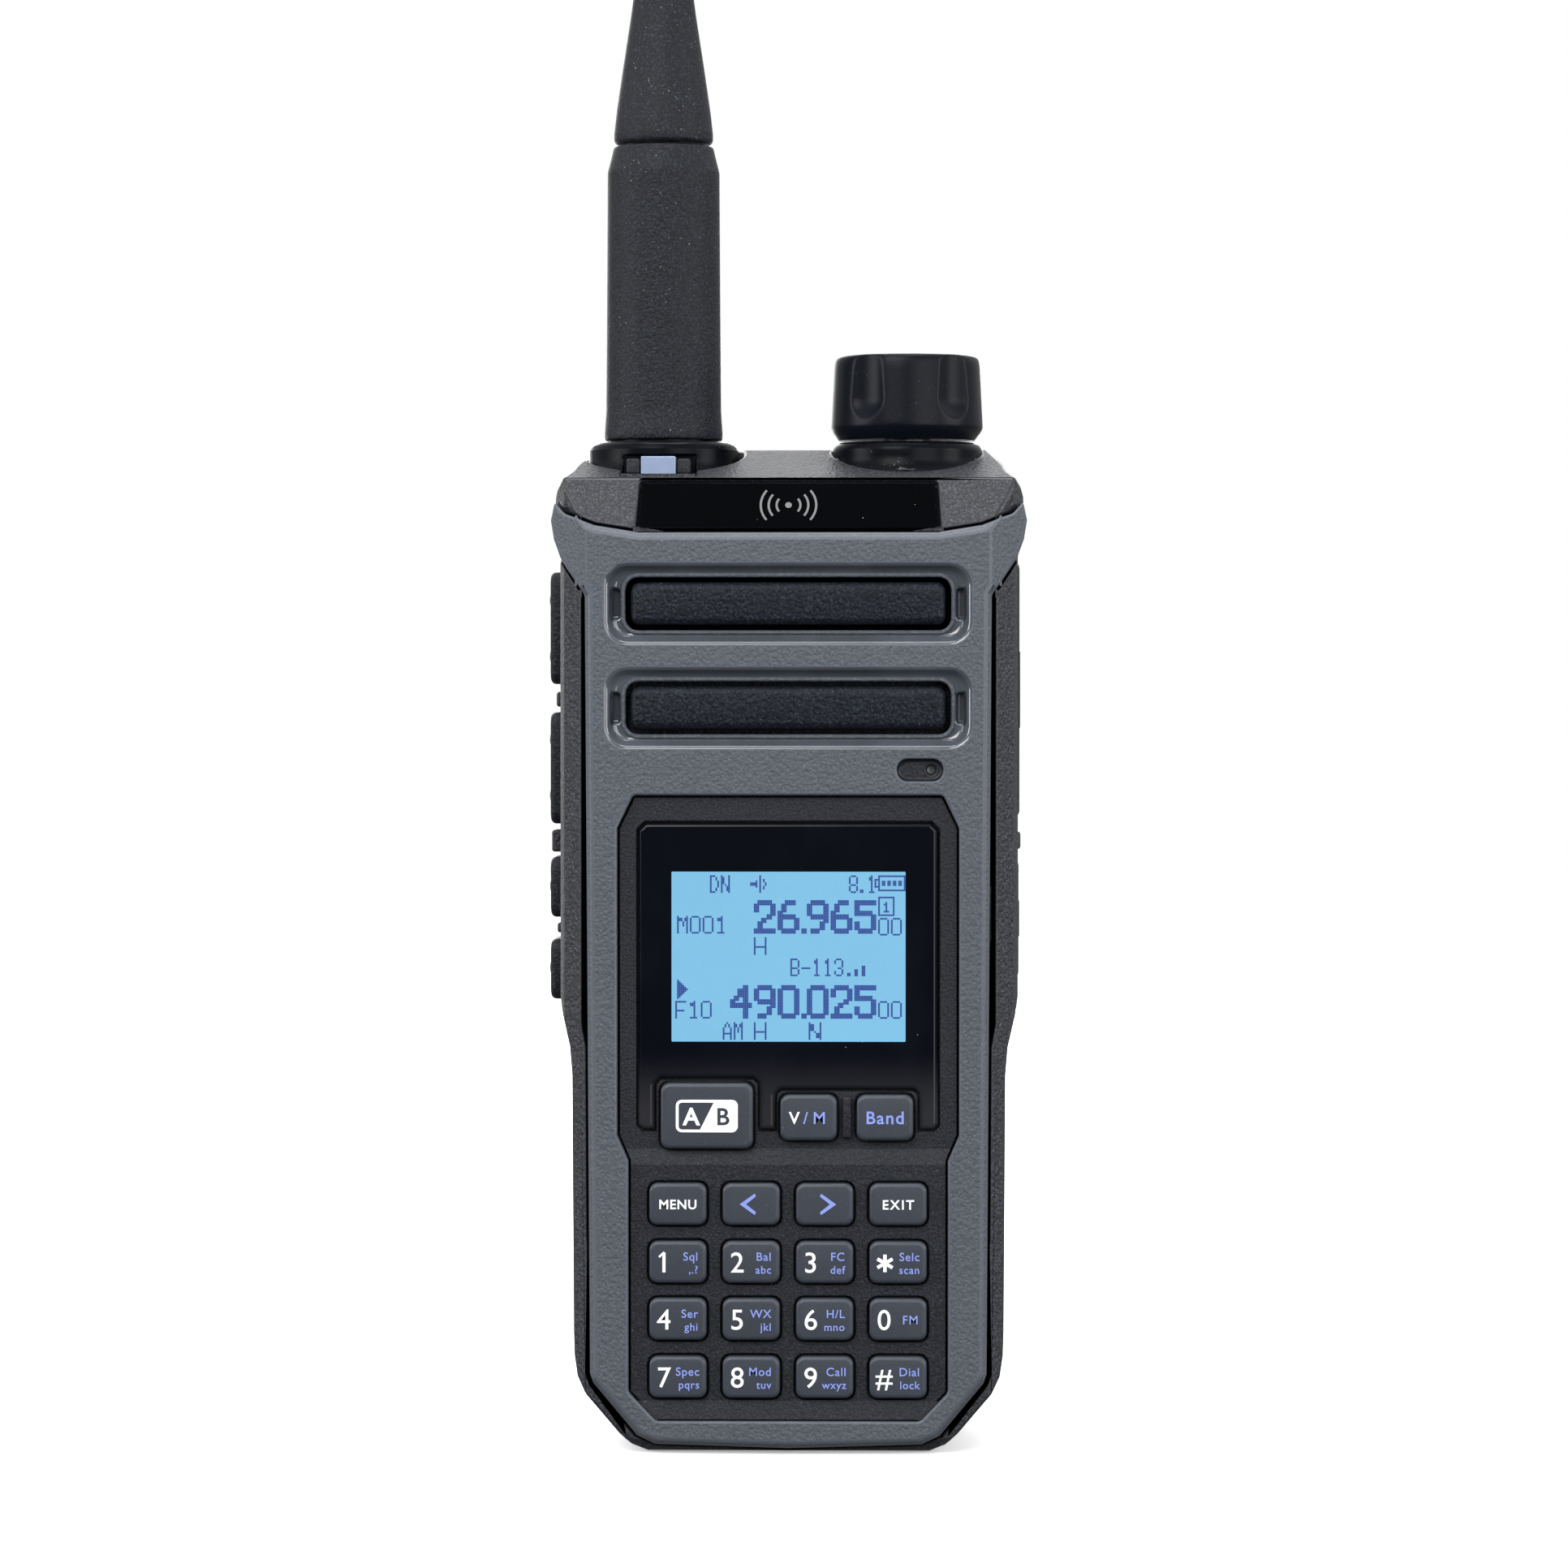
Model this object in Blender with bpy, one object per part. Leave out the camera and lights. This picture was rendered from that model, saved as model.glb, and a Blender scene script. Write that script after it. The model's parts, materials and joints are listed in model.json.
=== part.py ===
"""Handheld multi-band radio: casing, keypad, antenna, battery pack and belt clip as separate solids.

Lengths in the constants and outlines are millimetres. +Z is up, the keypad faces -Y, and the
origin is the middle of the base, where the radio stands.
"""

import math

import bmesh
import bpy
from mathutils import Matrix, Vector

MM = 0.001
GAP = 0.3
CUT = 3.0

# Depth of each layer, front to back.
COVER_FRONT = -18.0
COVER_BACK = -14.3
PANEL_UPPER = -17.0
PANEL_LOWER = -17.4
PANEL_WALL_BACK = -15.6
LENS_FRONT = -17.3
LENS_BACK = -16.3
KEY_FRONT = -18.5
KEY_FLANGE_FRONT = -15.3
KEY_FLANGE_BACK = -14.8
MAT_FRONT = -13.7
BOARD_FRONT = -12.6
HOUSING_FRONT = -16.4
HOUSING_BACK = 9.0
HEAD_BACK = 17.4
BATTERY_BACK = 17.7

# Heights and half-widths.
BASE_HALF = 27.2
GRIP_HALF = 29.0
WAIST_Z = 51.0
BATTERY_TOP = 99.4
SHOULDER_Z = 116.5
DECK_FRONT_Z = 123.0
DECK_TOP = 127.1
CAVITY_HALF = 26.1

# Top controls.
TOP_Y = 1.0
ANTENNA_X = -16.4
KNOB_X = 14.9
PEDESTAL_TOP = 127.9
ANTENNA_FOOT = 128.2
KNOB_FOOT = 128.2
KNOB_TOP = 139.0
BOWL_RADIUS = 10.1
FLUTES = 5
FLUTE_RADIUS = 6.2
FLUTE_REACH = 15.0
LED_X = -16.6
LED_NOTCH_HALF = 4.7

# Keypad grid.
KEY_SIZE = (7.2, 5.25)
KEY_COLUMNS = (-13.85, -4.62, 4.62, 13.85)
KEY_ROWS = (31.5, 24.2, 17.0, 9.7)
KEY_GRID = (
    ("menu", "left", "right", "exit"),
    ("1", "2", "3", "star"),
    ("4", "5", "6", "0"),
    ("7", "8", "9", "hash"),
)
WIDE_KEYS = {
    "ab": (-10.2, 42.6, 11.6, 8.2),
    "vm": (2.6, 42.4, 7.1, 5.7),
    "band": (12.2, 42.4, 7.1, 5.7),
}

# Side controls: bottom and top of each.
SIDE_BUTTONS = {
    "ptt_button_upper": (96.9, 111.2),
    "ptt_button_lower": (79.05, 93.3),
    "side_key_upper": (67.1, 74.8),
    "side_key_lower": (56.6, 64.3),
}
SIDE_BUTTON_Y = (-6.5, 4.5)
SIDE_COVERS = {"accessory_cover": (79.9, 112.5, 29.3), "port_cover": (59.3, 74.6, 29.2)}
SIDE_COVER_Y = (-7.0, 5.0)
SIDE_COVER_INNER = 27.6
SOCKET_Y = 1.0

# Speaker slots.
SLOT_ROWS = (93.9, 107.0)
SLOT_SIZE = (40.9, 6.6)
SLOT_RIM = (45.9, 9.9)
BAR_SIZE = (39.6, 5.2)
SPEAKER_Z = 98.2

# Belt clip.
CLIP_Y = 21.9
CLIP_Z = 90.0
CLIP_HALF = 8.0


def clear_scene():
    for old in list(bpy.data.objects):
        bpy.data.objects.remove(old, do_unlink=True)


def material(name, colour, roughness, metallic=0.0):
    found = bpy.data.materials.get(name)
    if found:
        return found
    made = bpy.data.materials.new(name)
    made.use_nodes = True
    shader = made.node_tree.nodes["Principled BSDF"]
    shader.inputs["Base Color"].default_value = (*colour, 1.0)
    shader.inputs["Roughness"].default_value = roughness
    shader.inputs["Metallic"].default_value = metallic
    return made


def finish(name):
    """The material of each finish, by the name that the record gives it."""
    table = {
        "grey_shell": ((0.085, 0.105, 0.125), 0.55, 0.0),
        "dark_shell": ((0.028, 0.030, 0.034), 0.60, 0.0),
        "panel_black": ((0.014, 0.015, 0.018), 0.65, 0.0),
        "gloss_black": ((0.004, 0.005, 0.006), 0.12, 0.0),
        "key_rubber": ((0.022, 0.028, 0.036), 0.50, 0.0),
        "soft_rubber": ((0.018, 0.019, 0.021), 0.75, 0.0),
        "lcd_glass": ((0.22, 0.52, 0.77), 0.35, 0.0),
        "led_window": ((0.33, 0.41, 0.58), 0.30, 0.0),
        "board_green": ((0.02, 0.11, 0.05), 0.50, 0.0),
        "bare_metal": ((0.62, 0.62, 0.64), 0.35, 1.0),
        "gold_plate": ((0.80, 0.58, 0.24), 0.30, 1.0),
        "cell_wrap": ((0.05, 0.16, 0.33), 0.45, 0.0),
    }
    colour, roughness, metallic = table[name]
    return material(name, colour, roughness, metallic)


def new_object(name, bm, slot, smooth=False):
    bmesh.ops.remove_doubles(bm, verts=bm.verts, dist=0.00001)
    bmesh.ops.recalc_face_normals(bm, faces=bm.faces)
    mesh = bpy.data.meshes.new(name)
    bm.to_mesh(mesh)
    bm.free()
    mesh.materials.append(finish(slot))
    if smooth:
        mesh.shade_smooth()
        mesh.set_sharp_from_angle(angle=math.radians(35))
    made = bpy.data.objects.new(name, mesh)
    bpy.context.scene.collection.objects.link(made)
    return made


def helper(name, bm):
    """A cutter or an added shape: it shapes other pieces and isn't one itself."""
    made = new_object(name, bm, "dark_shell")
    made.hide_render = True
    made.display_type = "WIRE"
    return made


def combine(target, other, operation):
    step = target.modifiers.new(operation.title(), "BOOLEAN")
    step.operation = operation
    step.object = other
    step.solver = "EXACT"


def cut(target, *cutters):
    for cutter in cutters:
        combine(target, cutter, "DIFFERENCE")


def set_origin(piece, point):
    """Puts a moving piece's origin on its joint's axis, leaving its shape where it is."""
    at = Vector(point) * MM
    piece.data.transform(Matrix.Translation(-at))
    piece.location = at


def mirrored(half):
    """The closed outline whose right half, bottom to top, is given."""
    left = [(-x, z) for x, z in reversed(half) if x > 0]
    return list(half) + left


def grown(outline, by):
    """The outline with each side moved outwards, its corners kept sharp."""
    count = len(outline)
    area = sum(
        outline[i][0] * outline[(i + 1) % count][1] - outline[(i + 1) % count][0] * outline[i][1]
        for i in range(count)
    )
    turn = 1 if area > 0 else -1
    moved = []
    for i, here in enumerate(outline):
        before = Vector(here) - Vector(outline[i - 1])
        after = Vector(outline[(i + 1) % count]) - Vector(here)
        one = Vector((before.y, -before.x)).normalized() * turn
        two = Vector((after.y, -after.x)).normalized() * turn
        both = one + two
        moved.append(tuple(Vector(here) + both * (by / (0.5 * both.length_squared))))
    return moved


def rounded(centre_u, centre_v, width, height, radius, steps=3):
    """A rectangle with round corners."""
    points = []
    for corner, (side_u, side_v) in enumerate(((1, -1), (1, 1), (-1, 1), (-1, -1))):
        middle_u = centre_u + side_u * (width / 2 - radius)
        middle_v = centre_v + side_v * (height / 2 - radius)
        for step in range(steps + 1):
            angle = math.radians(90 * (corner - 1) + 90 * step / steps)
            points.append((middle_u + radius * math.cos(angle), middle_v + radius * math.sin(angle)))
    return points


def circle(centre_u, centre_v, radius, count=24):
    return [
        (
            centre_u + radius * math.cos(2 * math.pi * i / count),
            centre_v + radius * math.sin(2 * math.pi * i / count),
        )
        for i in range(count)
    ]


def place(axis, u, v, depth):
    """The point that lies at depth along the axis, with u and v across it."""
    if axis == "Y":
        return Vector((u, depth, v)) * MM
    if axis == "X":
        return Vector((depth, u, v)) * MM
    return Vector((u, v, depth)) * MM


def add_loft(bm, sections, axis="Y"):
    """Joins outlines of one point count, each given with its depth, and closes both ends."""
    rings = [[bm.verts.new(place(axis, u, v, depth)) for u, v in outline] for outline, depth in sections]
    count = len(rings[0])
    for near, far in zip(rings, rings[1:]):
        for i in range(count):
            after = (i + 1) % count
            bm.faces.new((near[i], near[after], far[after], far[i]))
    bm.faces.new(rings[0])
    bm.faces.new(rings[-1])


def loft(*sections, axis="Y"):
    bm = bmesh.new()
    add_loft(bm, sections, axis)
    return bm


def prism(outline, low, high, axis="Y"):
    return loft((outline, low), (outline, high), axis=axis)


def box(low, high):
    bm = bmesh.new()
    add_box(bm, low, high)
    return bm


def add_box(bm, low, high):
    outline = [(low[0], low[2]), (high[0], low[2]), (high[0], high[2]), (low[0], high[2])]
    add_loft(bm, [(outline, low[1]), (outline, high[1])])


def turned(profile, centre, steps=32):
    """A solid turned about a vertical axis, from its outer side, top to bottom, ending on the axis."""
    bm = bmesh.new()
    verts = [bm.verts.new(Vector((radius, 0, z)) * MM) for radius, z in profile]
    edges = [bm.edges.new(pair) for pair in zip(verts, verts[1:])]
    bmesh.ops.spin(
        bm,
        geom=verts + edges,
        axis=(0, 0, 1),
        cent=(0, 0, 0),
        steps=steps,
        angle=2 * math.pi,
        use_merge=True,
    )
    bmesh.ops.translate(bm, verts=bm.verts, vec=Vector((*centre, 0)) * MM)
    return bm


def bowl(top, bottom, bore):
    """The flared seat under the antenna and under the knob, seen from its side."""
    outside = [
        (8.9, top),
        (9.4, top - 0.4),
        (9.65, top - 1.0),
        (9.65, top - 2.2),
        (9.8, top - 3.1),
        (BOWL_RADIUS, top - 3.8),
        (BOWL_RADIUS, bottom),
    ]
    if not bore:
        return [(0, top), *outside, (0, bottom)]
    return [(bore, top), *outside, (bore, bottom), (bore, top)]


def casing_outline():
    """Front view of the dark casing."""
    return mirrored(
        [
            (0, 0),
            (17.8, 0),
            (19.8, 0.9),
            (21.4, 2.4),
            (25.7, 7.4),
            (26.7, 9.4),
            (27.1, 12.0),
            (BASE_HALF, 15.0),
            (27.4, 47.5),
            (27.7, WAIST_Z),
            (28.7, 55.2),
            (GRIP_HALF, 57.4),
            (GRIP_HALF, 113),
            (29.8, 117.6),
            (29.7, 120.6),
            (29.3, 122.0),
            (28.6, 123.0),
            (27.6, 124.0),
            (27.2, 124.9),
            (25.4, DECK_TOP),
            (0, DECK_TOP),
        ]
    )


def cover_outline():
    """Front view of the grey cover, with its wings at the top."""
    return mirrored(
        [
            (0, 0.6),
            (16.8, 1.1),
            (19.1, 2.2),
            (24.6, 8.8),
            (25.0, 10.0),
            (25.6, 108.1),
            (28.8, 112.8),
            (29.7, 115.2),
            (30.1, 117.6),
            (29.6, 119.9),
            (28.3, 118.4),
            (24.4, 116.9),
            (18.8, 116.0),
            (0, 116.0),
        ]
    )


def wing_outline(side):
    half = [
        (26.6, 109.5),
        (28.8, 112.8),
        (29.7, 115.2),
        (30.1, 117.6),
        (29.6, 119.9),
        (28.3, 118.4),
        (26.6, 117.8),
    ]
    return [(side * x, z) for x, z in half]


def window_outline():
    """The opening of the grey cover that the keypad panel fills."""
    return mirrored(
        [
            (0, 3.9),
            (16.6, 4.1),
            (20.1, 7.7),
            (20.1, 36.9),
            (21.5, 40.1),
            (21.5, 78.8),
            (19.5, 82.9),
            (0, 82.9),
        ]
    )


def lens_outline():
    """The display lens, notched round the three keys under it."""
    return [
        (-18.9, 41.4),
        (-18.3, 40.8),
        (-16.8, 40.8),
        (-16.8, 46.6),
        (-16.1, 47.3),
        (-4.3, 47.3),
        (-3.6, 46.6),
        (-3.6, 40.8),
        (-1.6, 40.8),
        (-1.6, 45.3),
        (-1.0, 45.9),
        (15.9, 45.9),
        (16.5, 45.3),
        (16.5, 40.8),
        (18.3, 40.8),
        (18.9, 41.4),
        (18.9, 78.6),
        (18.0, 79.5),
        (-18.0, 79.5),
        (-18.9, 78.6),
    ]


def key_places():
    """Centre and size of every key, by name."""
    places = dict(WIDE_KEYS)
    for z, names in zip(KEY_ROWS, KEY_GRID):
        for x, name in zip(KEY_COLUMNS, names):
            places[name] = (x, z, *KEY_SIZE)
    return places


def plan_outline(front, half, slope_depth, back):
    """Top view of a shell whose sides turn back from its front."""
    return [
        (-half, front + slope_depth),
        (-half + 2.0, front + 0.32 * slope_depth),
        (-half + 5.0, front),
        (half - 5.0, front),
        (half - 2.0, front + 0.32 * slope_depth),
        (half, front + slope_depth),
        (half, back),
        (-half, back),
    ]


def cover_body(clearance):
    """The grey cover's solid form, grown where it serves to cut its own seat."""
    outline = grown(cover_outline(), clearance)
    back = COVER_BACK + clearance
    front = COVER_FRONT - (CUT if clearance else 0)
    if clearance:
        return prism(outline, front, back)
    return loft((grown(outline, -0.7), front), (outline, front + 0.7), (outline, back))


def cover_wing(side, clearance):
    outline = grown(wing_outline(side), clearance)
    front = COVER_FRONT - CUT if clearance else COVER_FRONT + 0.8
    return prism(outline, front, -10.6 + clearance)


def front_cover():
    cover = new_object("front_cover", cover_body(0), "grey_shell")
    plan = [(-30.6, -13.2), (-25.7, -17.9), (-24.5, -18.6), (24.5, -18.6), (25.7, -17.9), (30.6, -13.2)]
    plan += [(30.6, -9), (-30.6, -9)]
    for side in (-1, 1):
        combine(cover, helper(f"wing_{side + 1}", cover_wing(side, 0)), "UNION")
    combine(cover, helper("cover_plan", prism(plan, -2, 130, axis="Z")), "INTERSECT")
    holes = prism(window_outline(), COVER_FRONT - CUT, COVER_BACK + CUT)
    slot_w, slot_h = SLOT_SIZE
    rim_w, rim_h = SLOT_RIM
    for z in SLOT_ROWS:
        rim = rounded(0, z, rim_w, rim_h, 2.6, steps=5)
        floor = rounded(0, z, rim_w - 2.2, rim_h - 1.9, 1.8, steps=5)
        add_loft(holes, [(grown(rim, 0.35), COVER_FRONT - 0.4), (rim, COVER_FRONT), (floor, -16.8)])
    cut(cover, helper("cover_openings", holes))
    slots = bmesh.new()
    for z in SLOT_ROWS:
        slot = rounded(0, z, slot_w, slot_h, 1.5, steps=5)
        add_loft(slots, [(slot, COVER_FRONT - CUT), (slot, COVER_BACK + CUT)])
        for side in (-1, 1):
            add_box(slots, (side * 22.0 - 0.8, -17.2, z - 1.9), (side * 22.0 + 0.8, -15.6, z + 1.9))
    mic = rounded(16.6, 86.1, 5.6, 2.6, 1.25, steps=6)
    add_loft(slots, [(mic, COVER_FRONT - CUT), (mic, -17.2)])
    cut(cover, helper("speaker_slots", slots))
    cut(cover, helper("mic_hole", prism(circle(18.0, 86.1, 0.6, 12), -19, -13)))


def casing_form(name, profile, front, slope_depth, back):
    """A solid cut to the casing's front view, its plan and a side profile."""
    form = new_object(name, prism(profile, -32, 32, axis="X"), "dark_shell")
    outline = casing_outline()
    combine(form, helper(f"{name}_view", prism(outline, -20, 20)), "INTERSECT")
    plan = plan_outline(front, 30.4, slope_depth, back)
    combine(form, helper(f"{name}_plan", prism(plan, -2, 130, axis="Z")), "INTERSECT")
    return form


def main_housing():
    profile = [
        (HOUSING_FRONT, 1.6),
        (HOUSING_FRONT + 1.4, 0),
        (HOUSING_BACK, 0),
        (HOUSING_BACK, BATTERY_TOP + GAP),
        (HEAD_BACK, BATTERY_TOP + GAP),
        (HEAD_BACK, 122.0),
        (14.5, DECK_TOP),
        (3.0, DECK_TOP),
        (-12.8, DECK_FRONT_Z),
        (HOUSING_FRONT, SHOULDER_Z),
    ]
    housing = casing_form("main_housing", profile, HOUSING_FRONT, 9.6, 20)
    pedestal = turned(bowl(PEDESTAL_TOP, 121.5, 0), (KNOB_X, TOP_Y))
    combine(housing, helper("knob_pedestal", pedestal), "UNION")
    nubs = bmesh.new()
    for low, high, side, reach in (
        (94.0, 95.9, -1, 30.0),
        (75.4, 78.2, -1, 30.6),
        (65.0, 66.3, -1, 29.9),
        (75.8, 78.0, 1, 29.5),
    ):
        ends = sorted((side * 28.2, side * reach))
        add_box(nubs, (ends[0], -3.5, low), (ends[1], 1.5, high))
    combine(housing, helper("side_nubs", nubs), "UNION")
    hollow_housing(housing)
    cut(housing, *housing_openings())


def hollow_housing(housing):
    inside = [
        (-20, 2.4),
        (HOUSING_BACK - 2.4, 2.4),
        (HOUSING_BACK - 2.4, 102.2),
        (HEAD_BACK - 2.4, 102.2),
        (HEAD_BACK - 2.4, 120.5),
        (-9.0, 120.5),
        (-12.6, 114.5),
        (-20, 114.5),
    ]
    cavity = helper("cavity", prism(inside, -32, 32, axis="X"))
    walls = mirrored(
        [
            (0, 2.4),
            (18.2, 2.4),
            (23.6, 8.4),
            (24.4, 12),
            (24.6, 46),
            (CAVITY_HALF, 54),
            (CAVITY_HALF, 119),
            (24.6, 120.5),
            (0, 120.5),
        ]
    )
    combine(cavity, helper("cavity_view", prism(walls, -22, 22)), "INTERSECT")
    cut(housing, cavity)


def housing_openings():
    """What is cut from the housing after its hollow."""
    openings = [helper("cover_seat", cover_body(GAP))]
    openings += [helper(f"wing_seat_{side + 1}", cover_wing(side, GAP)) for side in (-1, 1)]
    top = prism(circle(ANTENNA_X, TOP_Y, BOWL_RADIUS + GAP, 48), 123.0, 132, axis="Z")
    openings.append(helper("collar_seat", top))
    through = prism(circle(ANTENNA_X, TOP_Y, 4.8), 117, 128, axis="Z")
    add_loft(through, [(circle(KNOB_X, TOP_Y, 3.6), 117), (circle(KNOB_X, TOP_Y, 3.6), 130)], axis="Z")
    openings.append(helper("top_holes", through))
    notch = box((LED_X - LED_NOTCH_HALF, -11.9, 123.2), (LED_X + LED_NOTCH_HALF, -6.0, 128))
    openings.append(helper("led_notch", notch))
    sides = bmesh.new()
    near, far = SIDE_BUTTON_Y
    for low, high in SIDE_BUTTONS.values():
        hole = rounded((near + far) / 2, (low + high) / 2, far - near + 0.7, high - low + 0.7, 1.8)
        add_loft(sides, [(hole, -32), (hole, -24)], axis="X")
    near, far = SIDE_COVER_Y
    for low, high, _ in SIDE_COVERS.values():
        add_box(sides, (SIDE_COVER_INNER - GAP, near - 0.4, low - 0.4), (32, far + 0.4, high + 0.4))
    openings.append(helper("side_openings", sides))
    sockets = prism(circle(SOCKET_Y, 103, 2.9), 20, 30, axis="X")
    add_loft(sockets, [(circle(SOCKET_Y, 90, 2.4), 20), (circle(SOCKET_Y, 90, 2.4), 30)], axis="X")
    usb = rounded(SOCKET_Y, 67, 3.7, 9.6, 1.7, steps=3)
    add_loft(sockets, [(usb, 20), (usb, 30)], axis="X")
    openings.append(helper("socket_holes", sockets))
    openings.append(helper("plate_seat", plate(grow=GAP, depth=GAP, above=CUT)))
    openings.append(helper("contact_slot", box((-8, 5, 22), (8, 10, 26))))
    return openings


def plate(grow, depth, above):
    """The name plate's form, laid on the sloping shoulder."""
    outline = grown(mirrored([(0, -3.6), (18.9, -3.6), (18.5, 3.2), (0, 3.2)]), grow)
    bm = prism(outline, -0.15 - above, 0.8 + depth)
    tilt = math.atan2(-12.8 - HOUSING_FRONT, DECK_FRONT_Z - SHOULDER_Z)
    middle = Vector((0, (HOUSING_FRONT - 12.8) / 2, (DECK_FRONT_Z + SHOULDER_Z) / 2 - 0.2)) * MM
    laid = Matrix.Translation(middle) @ Matrix.Rotation(-tilt, 4, "X")
    bmesh.ops.transform(bm, matrix=laid, verts=bm.verts)
    return bm


def keypad_panel():
    """Dark tray that fills the cover's window and holds the lens and the keys."""
    outline = grown(window_outline(), -GAP)
    panel = new_object("keypad_panel", prism(outline, PANEL_LOWER, -13.2), "panel_black")
    step = [
        (PANEL_LOWER, 36.4),
        (PANEL_UPPER, 38.4),
        (PANEL_UPPER, 90),
        (PANEL_LOWER - CUT, 90),
        (PANEL_LOWER - CUT, 36.4),
    ]
    cut(panel, helper("panel_step", prism(step, -30, 30, axis="X")))
    rim = prism(grown(window_outline(), 0.9), COVER_BACK + GAP, -13.2)
    combine(panel, helper("panel_rim", rim), "UNION")
    cut(panel, helper("lens_seat", prism(grown(lens_outline(), 0.25), -20, LENS_BACK + 0.3)))
    back = prism(rounded(0, 26.7, 37.4, 42.8, 2.5), PANEL_WALL_BACK, -12)
    add_loft(back, [(rounded(0, 64.8, 39.6, 31.6, 1.5), -14.8), (rounded(0, 64.8, 39.6, 31.6, 1.5), -12)])
    cut(panel, helper("panel_back", back))
    holes = bmesh.new()
    for x, z, width, height in key_places().values():
        hole = rounded(x, z, width + 0.7, height + 0.7, 1.3)
        add_loft(holes, [(hole, -20), (hole, -15)])
    window = rounded(0, 62.6, 33.6, 24.6, 0.8)
    add_loft(holes, [(window, -18), (window, -14)])
    cut(panel, helper("key_holes", holes))


def keys():
    for name, (x, z, width, height) in key_places().items():
        body = rounded(x, z, width, height, 1.0)
        flange = rounded(x, z, width + 1.5, height + 1.3, 1.0)
        bm = loft(
            (grown(body, -0.45), KEY_FRONT),
            (body, KEY_FRONT + 0.45),
            (body, KEY_FLANGE_FRONT),
            (flange, KEY_FLANGE_FRONT),
            (flange, KEY_FLANGE_BACK),
        )
        key = new_object(f"key_{name}", bm, "key_rubber")
        set_origin(key, (x, KEY_FLANGE_BACK, z))


def front_parts():
    outline = lens_outline()
    lens = loft((grown(outline, -0.4), LENS_FRONT), (outline, LENS_FRONT + 0.4), (outline, LENS_BACK))
    new_object("display_lens", lens, "gloss_black")
    new_object("name_plate", plate(grow=0, depth=0, above=0), "gloss_black")
    for name, z in zip(("speaker_bar_lower", "speaker_bar_upper"), SLOT_ROWS):
        bar = rounded(0, z, *BAR_SIZE, 1.2)
        flange = rounded(0, z, BAR_SIZE[0] + 3, BAR_SIZE[1] + 3, 1.5)
        back = COVER_BACK + GAP
        pad = [(grown(bar, -0.8), -17.9), (bar, -17.1), (bar, back)]
        bm = loft(*pad, (flange, back), (flange, back + 0.8))
        new_object(name, bm, "dark_shell")
    window = box((LED_X - 2.2, -11.0, 123.5), (LED_X + 2.2, -7.6, 125.8))
    new_object("status_led_window", window, "led_window")


def inner_parts():
    """Boards and modules between the front and the battery."""
    new_object("lcd_module", prism(rounded(0, 62.6, 32.8, 23.8, 0.5), -15.9, -13.2), "lcd_glass")
    mat = rounded(0, 26.7, 36.6, 42.0, 2.0)
    new_object("keypad_mat", prism(mat, MAT_FRONT, MAT_FRONT + 0.8), "soft_rubber")
    board = rounded(0, 43.5, 41, 75, 2.0)
    new_object("keypad_board", prism(board, BOARD_FRONT, BOARD_FRONT + 1.0), "board_green")
    new_object("chassis_plate", prism(rounded(0, 57.5, 42, 100, 2.5), -6.4, -4.8), "bare_metal")
    new_object("main_board", prism(rounded(0, 57.5, 42, 98, 2.0), -3.8, -2.6), "board_green")
    can = rounded(0, 57, 34, 50, 1.5)
    new_object("shield_can", loft((can, -2.2), (can, 0.6), (grown(can, -0.5), 1.1)), "bare_metal")
    driver = loft(
        (circle(0, SPEAKER_Z, 15.8, 32), -12.8),
        (circle(0, SPEAKER_Z, 15.8, 32), -11.0),
        (circle(0, SPEAKER_Z, 10.0, 32), -9.0),
        (circle(0, SPEAKER_Z, 9.0, 32), -7.0),
    )
    speaker = new_object("speaker", driver, "bare_metal")
    cone = loft(
        (circle(0, SPEAKER_Z, 14.4, 32), -14.0),
        (circle(0, SPEAKER_Z, 14.4, 32), -12.4),
        (circle(0, SPEAKER_Z, 4.0, 32), -10.2),
    )
    cut(speaker, helper("speaker_cone", cone))
    new_object("microphone", prism(circle(18.0, 86.1, 2.0, 16), -13.6, -11.6), "bare_metal")
    new_object("side_switch_board", box((-23.6, -8.0, 56.0), (-22.6, 5.5, 112.0)), "board_green")


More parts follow.
